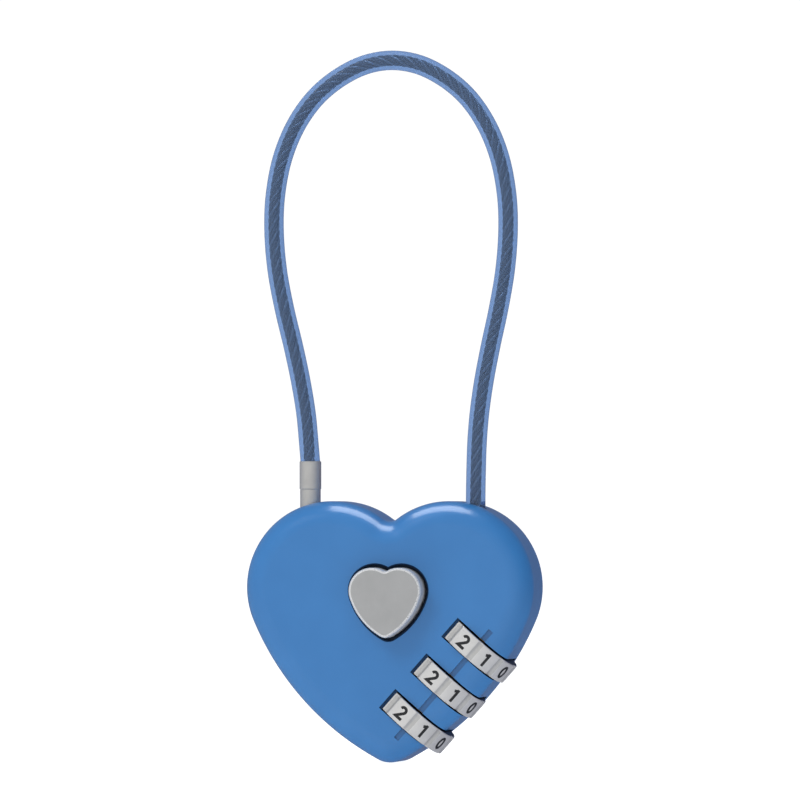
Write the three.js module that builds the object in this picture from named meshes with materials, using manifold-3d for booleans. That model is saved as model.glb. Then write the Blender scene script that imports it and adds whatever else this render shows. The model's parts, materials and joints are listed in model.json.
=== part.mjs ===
// Heart-shaped combination padlock: three number wheels, a heart push button and a cable shackle.
// Millimetres, +Z up. The front faces -Y and +X is to the right as seen from the front.
// The origin is inside the top of the cable loop, where the lock hangs. The dimensions below are
// measured from the heart's tip and from the middle of the case's depth, and the whole is moved at the end.
import * as THREE from 'three';
import { mergeVertices } from 'three/addons/utils/BufferGeometryUtils.js';
import Module from 'manifold-3d';

const wasm = await Module();
wasm.setup();
const radians = THREE.MathUtils.degToRad;

// ---------------------------------------------------------------- driving dimensions

// A heart outline is two lobes, two long side arcs, a round tip and a round cleft, all tangent.
const CASE_HEART = {
  lobeX: 8.45, lobeZ: 24.9, lobeR: 12.25, sideR: 40, tipR: 3.7, cleftR: 1.6, tipZ: 0,
};
const BUTTON_HEART = {
  lobeX: 1.94, lobeZ: 1.65, lobeR: 3.26, sideR: 9.73, tipR: 1.13, cleftR: 0.76, tipZ: -5.01,
};

const CASE_DEPTH = 13.4;          // front face to back face
const FRONT_EDGE_R = 3.4;         // rounding of the front rim
const BACK_EDGE_R = 2.4;          // rounding of the back rim
const FRONT_WALL = 1.6;
const COVER_INSET = 3.8;          // back cover's edge, measured in from the case outline
const COVER_THICK = 1.1;
const COVER_GAP = 0.12;
const CAVITY_INSET = 4.9;

const BUTTON_X = 0;
const BUTTON_Z = 22.8;
const BUTTON_PROUD = 3.2;         // how far the button's face stands off the case
const BUTTON_GAP = 0.4;
const TRAVEL = 1.5;               // press of the button, and the slider's stroke it drives

const DIAL_X = 7.4;               // middle wheel's centre
const DIAL_Y = -0.98;
const DIAL_Z = 11.7;
const DIAL_TILT = 41.6;           // degrees from +Z towards +X: the dial axis runs up to the right
const DIAL_PITCH = 6.75;
const WHEEL_R = 6.48;
const WHEEL_WIDTH = 3.15;
const WHEEL_BORE = 3.8;
const SLOT_R = 6.85;
const SLOT_WIDTH = 3.45;
const DIGIT_COUNT = 10;
const GROOVE_PHASE = 11;          // degrees from the front to the first groove between two digits
const SLEEVE_R = 3.6;
const SLEEVE_BORE = 2.85;
const SLEEVE_LOW = -1.7;          // sleeve ends, measured from its wheel's middle
const SLEEVE_HIGH = 2.6;
const GATE_THICK = 0.6;
const FIN_THICK = 0.5;
const FIN_R = 2.6;
const FIN_HALF = 0.65;            // half a fin's width
const FIN_REST = -0.75;           // a fin's middle, measured from its wheel's middle
const KEY_HALF = 0.4;             // half width and length of the key that joins a sleeve to its wheel
const KEY_LENGTH = 2.8;
const SPINDLE_R = 1.5;
const JOURNAL_R = 1.2;
const NECK_R = 0.9;               // neck of the spindle, and of the plug at its groove

const LEG_X = 11.95;              // the cable's two legs stand this far from the middle
const CABLE_Y = -1.2;
const CABLE_R = 1.4;
const SHEATH_BORE = 0.9;
const ROPE_R = 0.6;
const CABLE_STEPS = 40;
const CABLE_SIDES = 8;
const PLUG_R = 1.47;
const PLUG_HOLE_R = 1.7;
const PLUG_TIP_Z = 24.6;
const PLUG_TOP_Z = 38.85;
const FERRULE_TOP_Z = 42.85;
const FERRULE_R = 1.55;
const CRIMP_BORE = 0.8;           // bore of the ferrules and the plug's socket, round the rope
const CATCH_Z = 28.9;             // middle of the plug's groove
const ANCHOR_LOW_Z = 27.8;
const ANCHOR_TOP_Z = 33.4;

const SLIDER_FRONT = 0.8;         // the slider is a flat plate between these two depths
const SLIDER_BACK = 2.3;

const RIVETS = [[-15.3, 25.2], [15.3, 25.2], [-5.2, 30.2], [-7.6, 12.2]];
const RIVET_R = 0.9;
const RIVET_LOW = -2;             // front end of the shank
const RIVET_HEAD = 0.5;           // thickness of the head
const RIVET_HEAD_R = 1.3;
const RIVET_BOSS_R = 1.6;
const CATCH_POST = [-7.0, 22.5];  // a round post that carries the slider's catch arm
const CATCH_POST_R = 0.9;
const CATCH_PIN = [-9.85, 25.6];  // the slider's pin, between the plug and the catch leaf
const CATCH_PIN_R = 0.4;
const SCREW_R = 0.45;             // the small screws that hold the two leaf springs
const CATCH_SCREW_Z = 17.6;

// The cable's centre line over the right half, from the case up to the top of the loop: [x, y, z].
const CABLE_ROUTE = [
  [11.95, -1.2, 38.0], [12.02, -1.25, 41.5], [12.17, -1.35, 45.5], [12.52, -1.5, 49.5],
  [13.2, -1.8, 54.0], [14.21, -2.1, 59.0], [15.47, -2.5, 64.5], [16.46, -2.8, 70.0],
  [16.9, -2.95, 75.5], [16.73, -3.0, 80.5], [15.68, -3.0, 86.0], [13.69, -2.9, 90.8],
  [10.9, -2.7, 94.7], [7.5, -2.5, 97.5], [3.8, -2.35, 99.3], [0, -2.3, 99.9],
];

// ---------------------------------------------------------------- materials

const BLUE = { color: 0x4681bf, roughness: 0.25, metalness: 0.0 };
const NICKEL = { color: 0xb4b4b2, roughness: 0.35, metalness: 0.9 };
const STEEL = { color: 0x8f9397, roughness: 0.4, metalness: 1.0 };
const BRASS = { color: 0xb59a5c, roughness: 0.4, metalness: 1.0 };
const ROPE = { color: 0x405676, roughness: 0.45, metalness: 0.8 };
const SLEEVE_PVC = { color: 0x6f9ad0, roughness: 0.15, metalness: 0.0 };

// ---------------------------------------------------------------- solids and meshes

const [, LOOP_TOP_Y, LOOP_TOP_Z] = CABLE_ROUTE.at(-1);
const padlock = new THREE.Group();
const lock = new THREE.Group();
lock.position.set(0, -LOOP_TOP_Y, CABLE_R - LOOP_TOP_Z);
padlock.add(lock);

const dialFrame = new THREE.Matrix4()
  .makeRotationY(radians(DIAL_TILT))
  .setPosition(DIAL_X, DIAL_Y, DIAL_Z);

// Adds one named piece to the lock.
function piece(name, geometry, look) {
  const mesh = new THREE.Mesh(geometry, new THREE.MeshStandardMaterial(look));
  mesh.name = name;
  lock.add(mesh);
  return mesh;
}

// Adds a piece made in the dial frame: Z along the dial axis, X out to the case's lower right side.
function dialPiece(name, geometry, look) {
  const mesh = piece(name, geometry, look);
  mesh.applyMatrix4(dialFrame);
  return mesh;
}

function solid(geometry) {
  const bare = geometry.clone();
  bare.deleteAttribute('normal');
  bare.deleteAttribute('uv');
  const merged = mergeVertices(bare, 1e-5);
  return new wasm.Manifold(new wasm.Mesh({
    numProp: 3,
    vertProperties: new Float32Array(merged.attributes.position.array),
    triVerts: new Uint32Array(merged.index.array),
  }));
}

function geometryOf(manifold) {
  const mesh = manifold.getMesh();
  const geometry = new THREE.BufferGeometry();
  geometry.setAttribute('position', new THREE.BufferAttribute(new Float32Array(mesh.vertProperties), 3));
  geometry.setIndex(new THREE.BufferAttribute(new Uint32Array(mesh.triVerts), 1));
  return geometry;
}

const joined = (...solids) => solids.reduce((sum, each) => sum.add(each));
const cut = (base, ...tools) => tools.reduce((rest, tool) => rest.subtract(tool), base);
const inDialFrame = (geometry) => solid(geometry.clone().applyMatrix4(dialFrame));

// ---------------------------------------------------------------- shape helpers

// Points on an arc, end point left out, with steps of about one chord.
function arc(x, z, radius, from, to, chord) {
  const steps = Math.max(2, Math.ceil((Math.abs(to - from) * radius) / chord));
  const points = [];
  for (let i = 0; i < steps; i += 1) {
    const angle = from + ((to - from) * i) / steps;
    points.push(new THREE.Vector2(x + radius * Math.cos(angle), z + radius * Math.sin(angle)));
  }
  return points;
}

// The heart outline grown outwards by `grow`, drawn from the cleft down its right side and back up.
function heartShape(heart, grow = 0, chord = 1.9) {
  const { lobeX, lobeZ, lobeR, sideR, tipR, cleftR, tipZ } = heart;
  const tipCentre = tipZ + tipR;
  const toLobe = new THREE.Vector2(lobeX, lobeZ - tipCentre);
  const slack = sideR - lobeR;
  const reach = (toLobe.lengthSq() + slack ** 2 - (sideR - tipR) ** 2) / (2 * slack);
  const sideStart = toLobe.angle() - Math.acos(reach / toLobe.length());
  const sideX = lobeX - slack * Math.cos(sideStart);
  const sideZ = lobeZ - slack * Math.sin(sideStart);
  // Shrunk by more than the tip's radius, the side arcs simply meet in a point on the middle line.
  const pointed = tipR + grow <= 0.1;
  const sideEnd = pointed ? -Math.acos(-sideX / (sideR + grow)) : Math.atan2(tipCentre - sideZ, -sideX);
  const cleftZ = lobeZ + Math.sqrt((lobeR + cleftR) ** 2 - lobeX ** 2);
  const cleftEnd = Math.atan2(lobeZ - cleftZ, lobeX);
  const down = -Math.PI / 2;
  const right = [
    ...arc(0, cleftZ, cleftR - grow, down, cleftEnd, chord),
    ...arc(lobeX, lobeZ, lobeR + grow, cleftEnd + Math.PI, sideStart, chord),
    ...arc(sideX, sideZ, sideR + grow, sideStart, sideEnd, chord),
  ];
  if (pointed) {
    right.push(new THREE.Vector2(0, sideZ + (sideR + grow) * Math.sin(sideEnd)));
  } else {
    right.push(...arc(0, tipCentre, tipR + grow, sideEnd, down, chord / 2));
    right.push(new THREE.Vector2(0, tipZ - grow));
  }
  const left = right.slice(1, -1).reverse().map((point) => new THREE.Vector2(-point.x, point.y));
  return new THREE.Shape([...right, ...left]);
}

// A flat slab of an X-Z shape between two depths, with both rims rounded inside its outline.
function slab(shape, front, back, rim = 0, rimSegments = 1) {
  const geometry = new THREE.ExtrudeGeometry(shape, {
    depth: back - front - 2 * rim,
    bevelEnabled: rim > 0,
    bevelThickness: rim,
    bevelSize: rim,
    bevelOffset: -rim,
    bevelSegments: rimSegments,
    steps: 1,
  });
  geometry.rotateX(Math.PI / 2);
  return geometry.translate(0, back - rim, 0);
}

function block(x0, x1, y0, y1, z0, z1) {
  return new THREE.BoxGeometry(x1 - x0, y1 - y0, z1 - z0)
    .translate((x0 + x1) / 2, (y0 + y1) / 2, (z0 + z1) / 2);
}

// A round bar along Z.
function rod(radius, z0, z1, sides = 20) {
  return new THREE.CylinderGeometry(radius, radius, z1 - z0, sides)
    .rotateX(Math.PI / 2)
    .translate(0, 0, (z0 + z1) / 2);
}

// A round bar along Y, through the case's depth.
function crossRod(radius, x, z, y0, y1, sides = 16) {
  return new THREE.CylinderGeometry(radius, radius, y1 - y0, sides).translate(x, (y0 + y1) / 2, z);
}

// A turned piece about Z through [radius, z] points, listed up its outside and down its bore.
function turned(profile, sides = 20) {
  const points = profile.map(([radius, z]) => new THREE.Vector2(radius, z));
  return new THREE.LatheGeometry(points, sides).rotateX(Math.PI / 2);
}

// A round bar along X, between two places given in either order.
function sideRod(radius, x0, x1, sides = 12) {
  const [low, high] = [Math.min(x0, x1), Math.max(x0, x1)];
  return new THREE.CylinderGeometry(radius, radius, high - low, sides)
    .rotateZ(Math.PI / 2)
    .translate((low + high) / 2, 0, 0);
}

// A prism along X between two places, with its outline as [along Z, depth] points.
function ridge(outline, x0, x1) {
  const shape = new THREE.Shape(outline.map(([along, depth]) => new THREE.Vector2(along, depth)));
  return new THREE.ExtrudeGeometry(shape, { depth: x1 - x0, bevelEnabled: false, steps: 1 })
    .rotateY(-Math.PI / 2)
    .translate(x1, 0, 0);
}

class Helix extends THREE.Curve {
  constructor(radius, length, turns) {
    super();
    Object.assign(this, { radius, length, turns });
  }

  getPoint(t) {
    const angle = t * this.turns * 2 * Math.PI;
    return new THREE.Vector3(this.radius * Math.cos(angle), this.radius * Math.sin(angle), t * this.length);
  }
}

// A wire or tube of round section along a path.
function tube(path, steps, radius, sides, bore = 0) {
  const ring = (size) => arc(0, 0, size, 0, 2 * Math.PI, (2 * Math.PI * size) / sides);
  const section = new THREE.Shape(ring(radius));
  if (bore > 0) section.holes.push(new THREE.Path(ring(bore)));
  return new THREE.ExtrudeGeometry(section, { extrudePath: path, steps, curveSegments: 1 });
}

// A coil spring from z0 to z1 on the Z axis.
function coil(radius, wire, z0, z1, turns) {
  const helix = new Helix(radius, z1 - z0 - 2 * wire, turns);
  return tube(helix, turns * 8, wire, 5).translate(0, 0, z0 + wire);
}

// ---------------------------------------------------------------- case casting

const FRONT = -CASE_DEPTH / 2;
const BACK = CASE_DEPTH / 2;
const CAVITY_FRONT = FRONT + FRONT_WALL;
const COVER_FRONT = BACK - COVER_THICK;
const BEYOND = 10;                // a cutting tool runs this far past the case
const BITE = 0.5;                 // a piece that is joined on, or cut through, overlaps by this much
const CLEAR = 0.2;                // running clearance round the moving pieces
const WHEEL_STEPS = [1, 0, -1];
const SLOT_END = DIAL_PITCH + SLOT_WIDTH / 2;
const DIAL_BLOCK_TOP = DIAL_PITCH + SLEEVE_HIGH + 0.05;
const DIAL_BLOCK_INNER = -7.1;    // inner face of the dial block, where the click spring lies
const FORK_ROOM = 2.35;           // half width and reach in front of the axis of the fork's space
const BEARING_HALF = 2.4;         // half width of the upper bearing's block
const BEARING_LOW = 13.3;
const JOURNAL_END = 14.5;         // the spindle's upper end at rest
const SPRING_SEAT = 15.6;         // where the slider's spring bears on the case
const SPRING_ROOM_R = 1.5;
const CLICK_SCREWS = [-DIAL_PITCH / 2, DIAL_PITCH / 2];
const CLICK_SCREW_DEPTH = 5.4;    // behind the dial axis
const SCREW_HOLE_R = SCREW_R + 0.05;
const SLIDER_LOW = -1.3;          // the slider's frame moves between these two places
const SLIDER_HIGH = 10;
const SLIDER_HALF = 4.7;          // half width of the space for the slider's frame
const GUIDE_HALF = 2.65;          // the plug guide and the anchor's block, either side of the cable's leg
const GUIDE_LOW = 15.5;
const ANCHOR_BLOCK_HALF = 3;
const ANCHOR_BLOCK_LOW = 26.8;
const BLOCKS_TOP = 36;            // both run up into the lobes' walls
const PLUG_HOLE_LOW = 18.4;
const LEG_HOLE_TOP = 40;          // the two cable holes are cut up past the lobes to here
const ANCHOR_ROOM_R = 2.35;
const LINE_INNER = 0.62;          // the code line lies between these two places beside the dial axis
const LINE_OUTER = 1.42;
const LINE_DEPTH = 0.3;

// In the dial frame Y is still depth, so these depths are measured from the dial axis.
const BACK_OF_SLOTS = COVER_FRONT - DIAL_Y;
const FRONT_OF_CASE = FRONT - DIAL_Y;
const SLIDER_MIDDLE = (SLIDER_FRONT + SLIDER_BACK) / 2 - DIAL_Y;
const SLIDER_ROOM_FRONT = SLIDER_FRONT - DIAL_Y - 0.3;

// Where the button's axis and the slider's catch pin stand in the dial frame.
const seenFromDials = (x, z) => new THREE.Vector3(x, 0, z).applyMatrix4(dialFrame.clone().invert());
const { x: PRESS_ACROSS, z: PRESS_ALONG } = seenFromDials(BUTTON_X, BUTTON_Z);
const { x: PIN_ACROSS, z: PIN_ALONG } = seenFromDials(...CATCH_PIN);

// The heart with both rims rounded, each by its own radius.
function caseBody() {
  const roundFront = solid(slab(heartShape(CASE_HEART), FRONT, BACK + BEYOND, FRONT_EDGE_R, 4));
  const roundBack = solid(slab(heartShape(CASE_HEART), FRONT - BEYOND, BACK, BACK_EDGE_R, 4));
  return roundFront.intersect(roundBack);
}

// What stays solid inside the cavity.
function cavityFills() {
  const depth = [CAVITY_FRONT - BITE, COVER_FRONT + BITE];
  const toSlider = SLIDER_FRONT - CLEAR;
  const throughCase = [-8, 9];
  const beside = (x, half) => [x - half, x + half];
  const dialBlock = inDialFrame(block(DIAL_BLOCK_INNER, 16, ...throughCase, -16, DIAL_BLOCK_TOP));
  const bearing = inDialFrame(block(-BEARING_HALF, BEARING_HALF, ...throughCase, BEARING_LOW, 18));
  const springSeat = inDialFrame(
    block(...beside(PRESS_ACROSS, SPRING_ROOM_R + 0.4), ...throughCase, SPRING_SEAT, 19),
  );
  const plugGuide = solid(block(...beside(-LEG_X, GUIDE_HALF), ...depth, GUIDE_LOW, BLOCKS_TOP));
  const anchorBlock = solid(
    block(...beside(LEG_X, ANCHOR_BLOCK_HALF), ...depth, ANCHOR_BLOCK_LOW, BLOCKS_TOP),
  );
  const armRest = inDialFrame(block(-6.6, -3, -8, toSlider - DIAL_Y, DIAL_BLOCK_TOP - 1, 12.8));
  const catchPost = solid(crossRod(CATCH_POST_R, ...CATCH_POST, CAVITY_FRONT - BITE, toSlider));
  const bosses = RIVETS.map(([x, z]) => solid(crossRod(RIVET_BOSS_R, x, z, ...depth)));
  return joined(dialBlock, bearing, springSeat, plugGuide, anchorBlock, armRest, catchPost, ...bosses);
}

function cavity() {
  const hollow = solid(slab(heartShape(CASE_HEART, -CAVITY_INSET), CAVITY_FRONT, COVER_FRONT + 0.1));
  return hollow.subtract(cavityFills());
}

// A channel about the dial axis, open to the back so that the pieces in it drop in before the cover.
function dialChannel(radius, low, high, sides) {
  return [
    inDialFrame(rod(radius, low, high, sides)),
    inDialFrame(block(-radius, radius, 0, BACK_OF_SLOTS, low, high)),
  ];
}

// A wheel's slot, which breaks out of the case's side, with room for its click finger.
function wheelSlot(step) {
  const low = step * DIAL_PITCH - SLOT_WIDTH / 2;
  const high = low + SLOT_WIDTH;
  return [
    inDialFrame(rod(SLOT_R, low, high, 40)),
    inDialFrame(block(-SLOT_R, 2, 0, BACK_OF_SLOTS, low, high)),
    inDialFrame(block(DIAL_BLOCK_INNER - BITE, 0, -1.6, BACK_OF_SLOTS, low, high)),
  ];
}

function dialOpenings() {
  const journalRoom = JOURNAL_R + 0.15;
  const journalTop = JOURNAL_END + TRAVEL + 0.3;
  return [
    ...WHEEL_STEPS.flatMap(wheelSlot),
    ...dialChannel(SLEEVE_R + CLEAR, -SLOT_END, DIAL_BLOCK_TOP + 0.1, 24),
    ...dialChannel(journalRoom, -SLOT_END - 1.9, -SLOT_END + 0.1, 24),
    ...dialChannel(journalRoom, BEARING_LOW - 0.1, journalTop, 24),
  ];
}

// Room for the slider's stroke and its spring where they come near the cavity's wall.
function sliderRoom() {
  const [left, right] = [PRESS_ACROSS - SPRING_ROOM_R, PRESS_ACROSS + SPRING_ROOM_R];
  const sides = [PRESS_ACROSS - SLIDER_HALF, PRESS_ACROSS + SLIDER_HALF];
  const depth = [SLIDER_ROOM_FRONT, BACK_OF_SLOTS];
  const frame = block(...sides, ...depth, SLIDER_LOW, SLIDER_HIGH);
  const arm = block(left, FORK_ROOM, ...depth, DIAL_BLOCK_TOP - 0.05, 12.9);
  const fork = block(-FORK_ROOM, FORK_ROOM, -FORK_ROOM, BACK_OF_SLOTS, DIAL_BLOCK_TOP, BEARING_LOW);
  const spring = rod(SPRING_ROOM_R, SLIDER_HIGH, SPRING_SEAT, 16).translate(PRESS_ACROSS, SLIDER_MIDDLE, 0);
  const springSlot = block(left, right, SLIDER_MIDDLE, BACK_OF_SLOTS, SLIDER_HIGH, SPRING_SEAT);
  return [frame, arm, fork, spring, springSlot].map(inDialFrame);
}

// The groove across the wheels that the code is read against.
function codeLine() {
  const depth = [FRONT_OF_CASE - BITE, FRONT_OF_CASE + LINE_DEPTH];
  return inDialFrame(block(LINE_INNER, LINE_OUTER, ...depth, -SLOT_END - 1.7, SLOT_END + 1.9));
}

function screwHoles() {
  const forClick = CLICK_SCREWS.map((along) => inDialFrame(
    sideRod(SCREW_HOLE_R, DIAL_BLOCK_INNER - BITE, DIAL_BLOCK_INNER + 2.6, 10)
      .translate(0, CLICK_SCREW_DEPTH, along),
  ));
  const forCatch = solid(sideRod(SCREW_HOLE_R, -12.4, -9, 12).translate(0, CABLE_Y, CATCH_SCREW_Z));
  return [...forClick, forCatch];
}

function plugOpenings() {
  const hole = solid(rod(PLUG_HOLE_R, PLUG_HOLE_LOW, LEG_HOLE_TOP).translate(-LEG_X, CABLE_Y, 0));
  const catchRecess = solid(block(-11.3, -9, -3.2, COVER_FRONT + 0.1, 23.8, 30.8));
  return [hole, catchRecess];
}

// The anchored end drops in from the back, and the cable leaves by a round hole in the lobe.
function anchorOpenings() {
  const low = ANCHOR_LOW_Z - 0.3;
  const high = ANCHOR_TOP_Z + 0.3;
  const [left, right] = [LEG_X - ANCHOR_ROOM_R, LEG_X + ANCHOR_ROOM_R];
  return [
    solid(rod(ANCHOR_ROOM_R, low, high).translate(LEG_X, CABLE_Y, 0)),
    solid(block(left, right, CABLE_Y, COVER_FRONT + 0.1, low, high)),
    solid(rod(CABLE_R + CLEAR, high - 0.1, LEG_HOLE_TOP).translate(LEG_X, CABLE_Y, 0)),
  ];
}

function buttonHole() {
  return solid(slab(heartShape(BUTTON_HEART, BUTTON_GAP, 0.8), FRONT - 1, CAVITY_FRONT + BITE)
    .translate(BUTTON_X, 0, BUTTON_Z));
}

function bodyCasting() {
  const coverSeat = solid(slab(heartShape(CASE_HEART, -COVER_INSET), COVER_FRONT, BACK + 1));
  const rivetHoles = RIVETS.map(([x, z]) => solid(crossRod(RIVET_R, x, z, RIVET_LOW - 0.2, BACK, 10)));
  return cut(caseBody(), coverSeat, cavity(), buttonHole(), codeLine(), ...dialOpenings(), ...sliderRoom(),
    ...screwHoles(), ...plugOpenings(), ...anchorOpenings(), ...rivetHoles);
}

piece('body_casting', geometryOf(bodyCasting()), BLUE);

// ---------------------------------------------------------------- back cover and its rivets

const RIB_FRONT = SLEEVE_R + 0.25;      // the cover's ribs stop this far behind the dial axis
const RIB_HALF = (DIAL_PITCH - SLOT_WIDTH) / 2 - 0.3;
const BUTTON_POST_R = 0.5;
const BUTTON_POST_FRONT = 3.2;

// What stands on the inside of the cover.
function coverRibs() {
  const root = COVER_FRONT + 0.3;
  const rootFromDials = root - DIAL_Y;
  const sliderBack = SLIDER_BACK + CLEAR;
  const channelRibs = CLICK_SCREWS.map((middle) => inDialFrame(
    block(-3.3, 2.2, RIB_FRONT, rootFromDials, middle - RIB_HALF, middle + RIB_HALF),
  ));
  const armPad = inDialFrame(block(-6.2, -3.4, sliderBack - DIAL_Y, rootFromDials, 9.9, 12.2));
  const catchPad = solid(crossRod(CATCH_POST_R, ...CATCH_POST, sliderBack, root));
  const buttonPost = solid(crossRod(BUTTON_POST_R, BUTTON_X, BUTTON_Z, BUTTON_POST_FRONT, root, 8));
  return joined(...channelRibs, armPad, catchPad, buttonPost);
}

function backCover() {
  const outline = heartShape(CASE_HEART, -COVER_INSET - COVER_GAP);
  const plate = solid(slab(outline, COVER_FRONT + 0.05, BACK));
  const withinEdge = solid(slab(outline, FRONT, BACK));
  const holes = RIVETS.map(([x, z]) => solid(crossRod(RIVET_R + 0.02, x, z, 0, BACK + 1, 10)));
  const sinks = RIVETS.map(([x, z]) => solid(
    crossRod(RIVET_HEAD_R + 0.05, x, z, BACK - RIVET_HEAD - 0.05, BACK + 1),
  ));
  return cut(plate.add(coverRibs().intersect(withinEdge)), ...holes, ...sinks);
}

piece('back_cover', geometryOf(backCover()), BLUE);

RIVETS.forEach(([x, z], index) => {
  const shank = RIVET_R - 0.05;
  const profile = [
    [0, RIVET_LOW], [shank, RIVET_LOW], [shank, BACK - RIVET_HEAD], [RIVET_HEAD_R, BACK - RIVET_HEAD],
    [RIVET_HEAD_R, BACK], [0, BACK],
  ];
  const rivet = turned(profile, 12).rotateX(-Math.PI / 2).translate(x, 0, z);
  piece(`case_rivet_${index + 1}`, rivet, STEEL);
});

// ---------------------------------------------------------------- number wheels and code sleeves

// Angles in the dial frame start at the front (-Y) and turn towards the case's side (+X).
const atAngle = (radius, degrees) => new THREE.Vector2(
  radius * Math.sin(radians(degrees)),
  -radius * Math.cos(radians(degrees)),
);

const GROOVE_TOP = 4.2;           // a groove's half width in degrees at the wheel's face and at its floor
const GROOVE_FLOOR = 2.4;
const GROOVE_DEPTH = 0.2;
const KEYWAY = 8;                 // half width in degrees of the ten keyways in the bore
const KEYWAY_DEPTH = 0.6;

// A ring with a groove between every two numbers, and a keyway under each groove.
function numberWheel() {
  const pitch = 360 / DIGIT_COUNT;
  const [floor, keyway] = [WHEEL_R - GROOVE_DEPTH, WHEEL_BORE + KEYWAY_DEPTH];
  const rim = [];
  const bore = [];
  for (let digit = 0; digit < DIGIT_COUNT; digit += 1) {
    const groove = GROOVE_PHASE + digit * pitch;
    rim.push(atAngle(WHEEL_R, groove - GROOVE_TOP), atAngle(floor, groove - GROOVE_FLOOR));
    rim.push(atAngle(floor, groove + GROOVE_FLOOR), atAngle(WHEEL_R, groove + GROOVE_TOP));
    for (const part of [0.25, 0.5, 0.75]) rim.push(atAngle(WHEEL_R, groove + pitch * part));
    bore.push(atAngle(keyway, groove - KEYWAY), atAngle(keyway, groove + KEYWAY));
    bore.push(atAngle(WHEEL_BORE, groove + KEYWAY + 1), atAngle(WHEEL_BORE, groove + pitch - KEYWAY - 1));
  }
  const shape = new THREE.Shape(rim);
  shape.holes.push(new THREE.Path(bore));
  return new THREE.ExtrudeGeometry(shape, { depth: WHEEL_WIDTH, bevelEnabled: false, steps: 1 })
    .translate(0, 0, -WHEEL_WIDTH / 2);
}

// A tube with a gate disc inside; the disc's notch lets the spindle's fin through at one number only.
function codeSleeve() {
  const outer = solid(rod(SLEEVE_R, SLEEVE_LOW, SLEEVE_HIGH, 24));
  const hollowLow = solid(rod(SLEEVE_BORE, SLEEVE_LOW - 1, -GATE_THICK / 2, 16));
  const hollowHigh = solid(rod(SLEEVE_BORE, GATE_THICK / 2, SLEEVE_HIGH + 1, 16));
  const bore = solid(rod(SPINDLE_R + CLEAR, -1, 1, 16));
  const notchHalf = FIN_HALF + CLEAR;
  const notch = solid(block(-notchHalf, notchHalf, -FIN_R - CLEAR, 0, -1, 1));
  const keyFront = -WHEEL_BORE - KEYWAY_DEPTH + CLEAR;
  const key = block(-KEY_HALF, KEY_HALF, keyFront, -SLEEVE_R + 0.3, -KEY_LENGTH / 2, KEY_LENGTH / 2);
  return cut(joined(outer, solid(key.rotateZ(radians(GROOVE_PHASE)))), hollowLow, hollowHigh, bore, notch);
}

WHEEL_STEPS.forEach((step, index) => {
  const along = step * DIAL_PITCH;
  dialPiece(`number_wheel_${index + 1}`, numberWheel().translate(0, 0, along), NICKEL);
  dialPiece(`code_sleeve_${index + 1}`, geometryOf(codeSleeve()).translate(0, 0, along), BRASS);
});

// ---------------------------------------------------------------- spindle, slider and click spring

const FORK_LOW = DIAL_BLOCK_TOP + 0.2;
const FORK_HIGH = FORK_LOW + 1.1;

function spindle() {
  const low = -SLOT_END - 1.7;
  const shoulder = 0.2 - SLOT_END;
  const [neckLow, neckHigh] = [FORK_LOW - 0.12, FORK_HIGH + 0.12];
  const collar = FORK_HIGH + 0.9;
  const shaft = solid(turned([
    [0, low], [JOURNAL_R, low], [JOURNAL_R, shoulder], [SPINDLE_R, shoulder], [SPINDLE_R, neckLow],
    [NECK_R, neckLow], [NECK_R, neckHigh], [SPINDLE_R, neckHigh], [SPINDLE_R, collar], [JOURNAL_R, collar],
    [JOURNAL_R, JOURNAL_END], [0, JOURNAL_END],
  ], 16));
  const fins = WHEEL_STEPS.map((step) => {
    const middle = step * DIAL_PITCH + FIN_REST;
    return solid(block(-FIN_HALF, FIN_HALF, -FIN_R, 0, middle - FIN_THICK / 2, middle + FIN_THICK / 2));
  });
  return joined(shaft, ...fins);
}

dialPiece('dial_spindle', geometryOf(spindle()), STEEL);

const RAMP_INNER = 2.05;          // the button's two ramp ribs lie between these half widths
const RAMP_OUTER = 3.2;
const RAMP_REACH = 2.4;           // the ribs' full width towards the spindle's upper end
const RAMP_START = 0.6;           // depth where the 45 degree ramps begin
const RAMP_END = 3.4;
const FRAME_HALF = 4.3;           // the slider's frame, round the button's axis
const FRAME_LOW = -1;
const FRAME_HIGH = 8.2;
const ARM_TOP = 11;
const FORK_HALF = 1.9;
const FORK_GAP = 1.05;            // half the fork's slot, round the spindle's neck
const STEM_ROOM = 2.05;
const WINDOW_LOW = PRESS_ALONG - 3.4;

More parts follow.
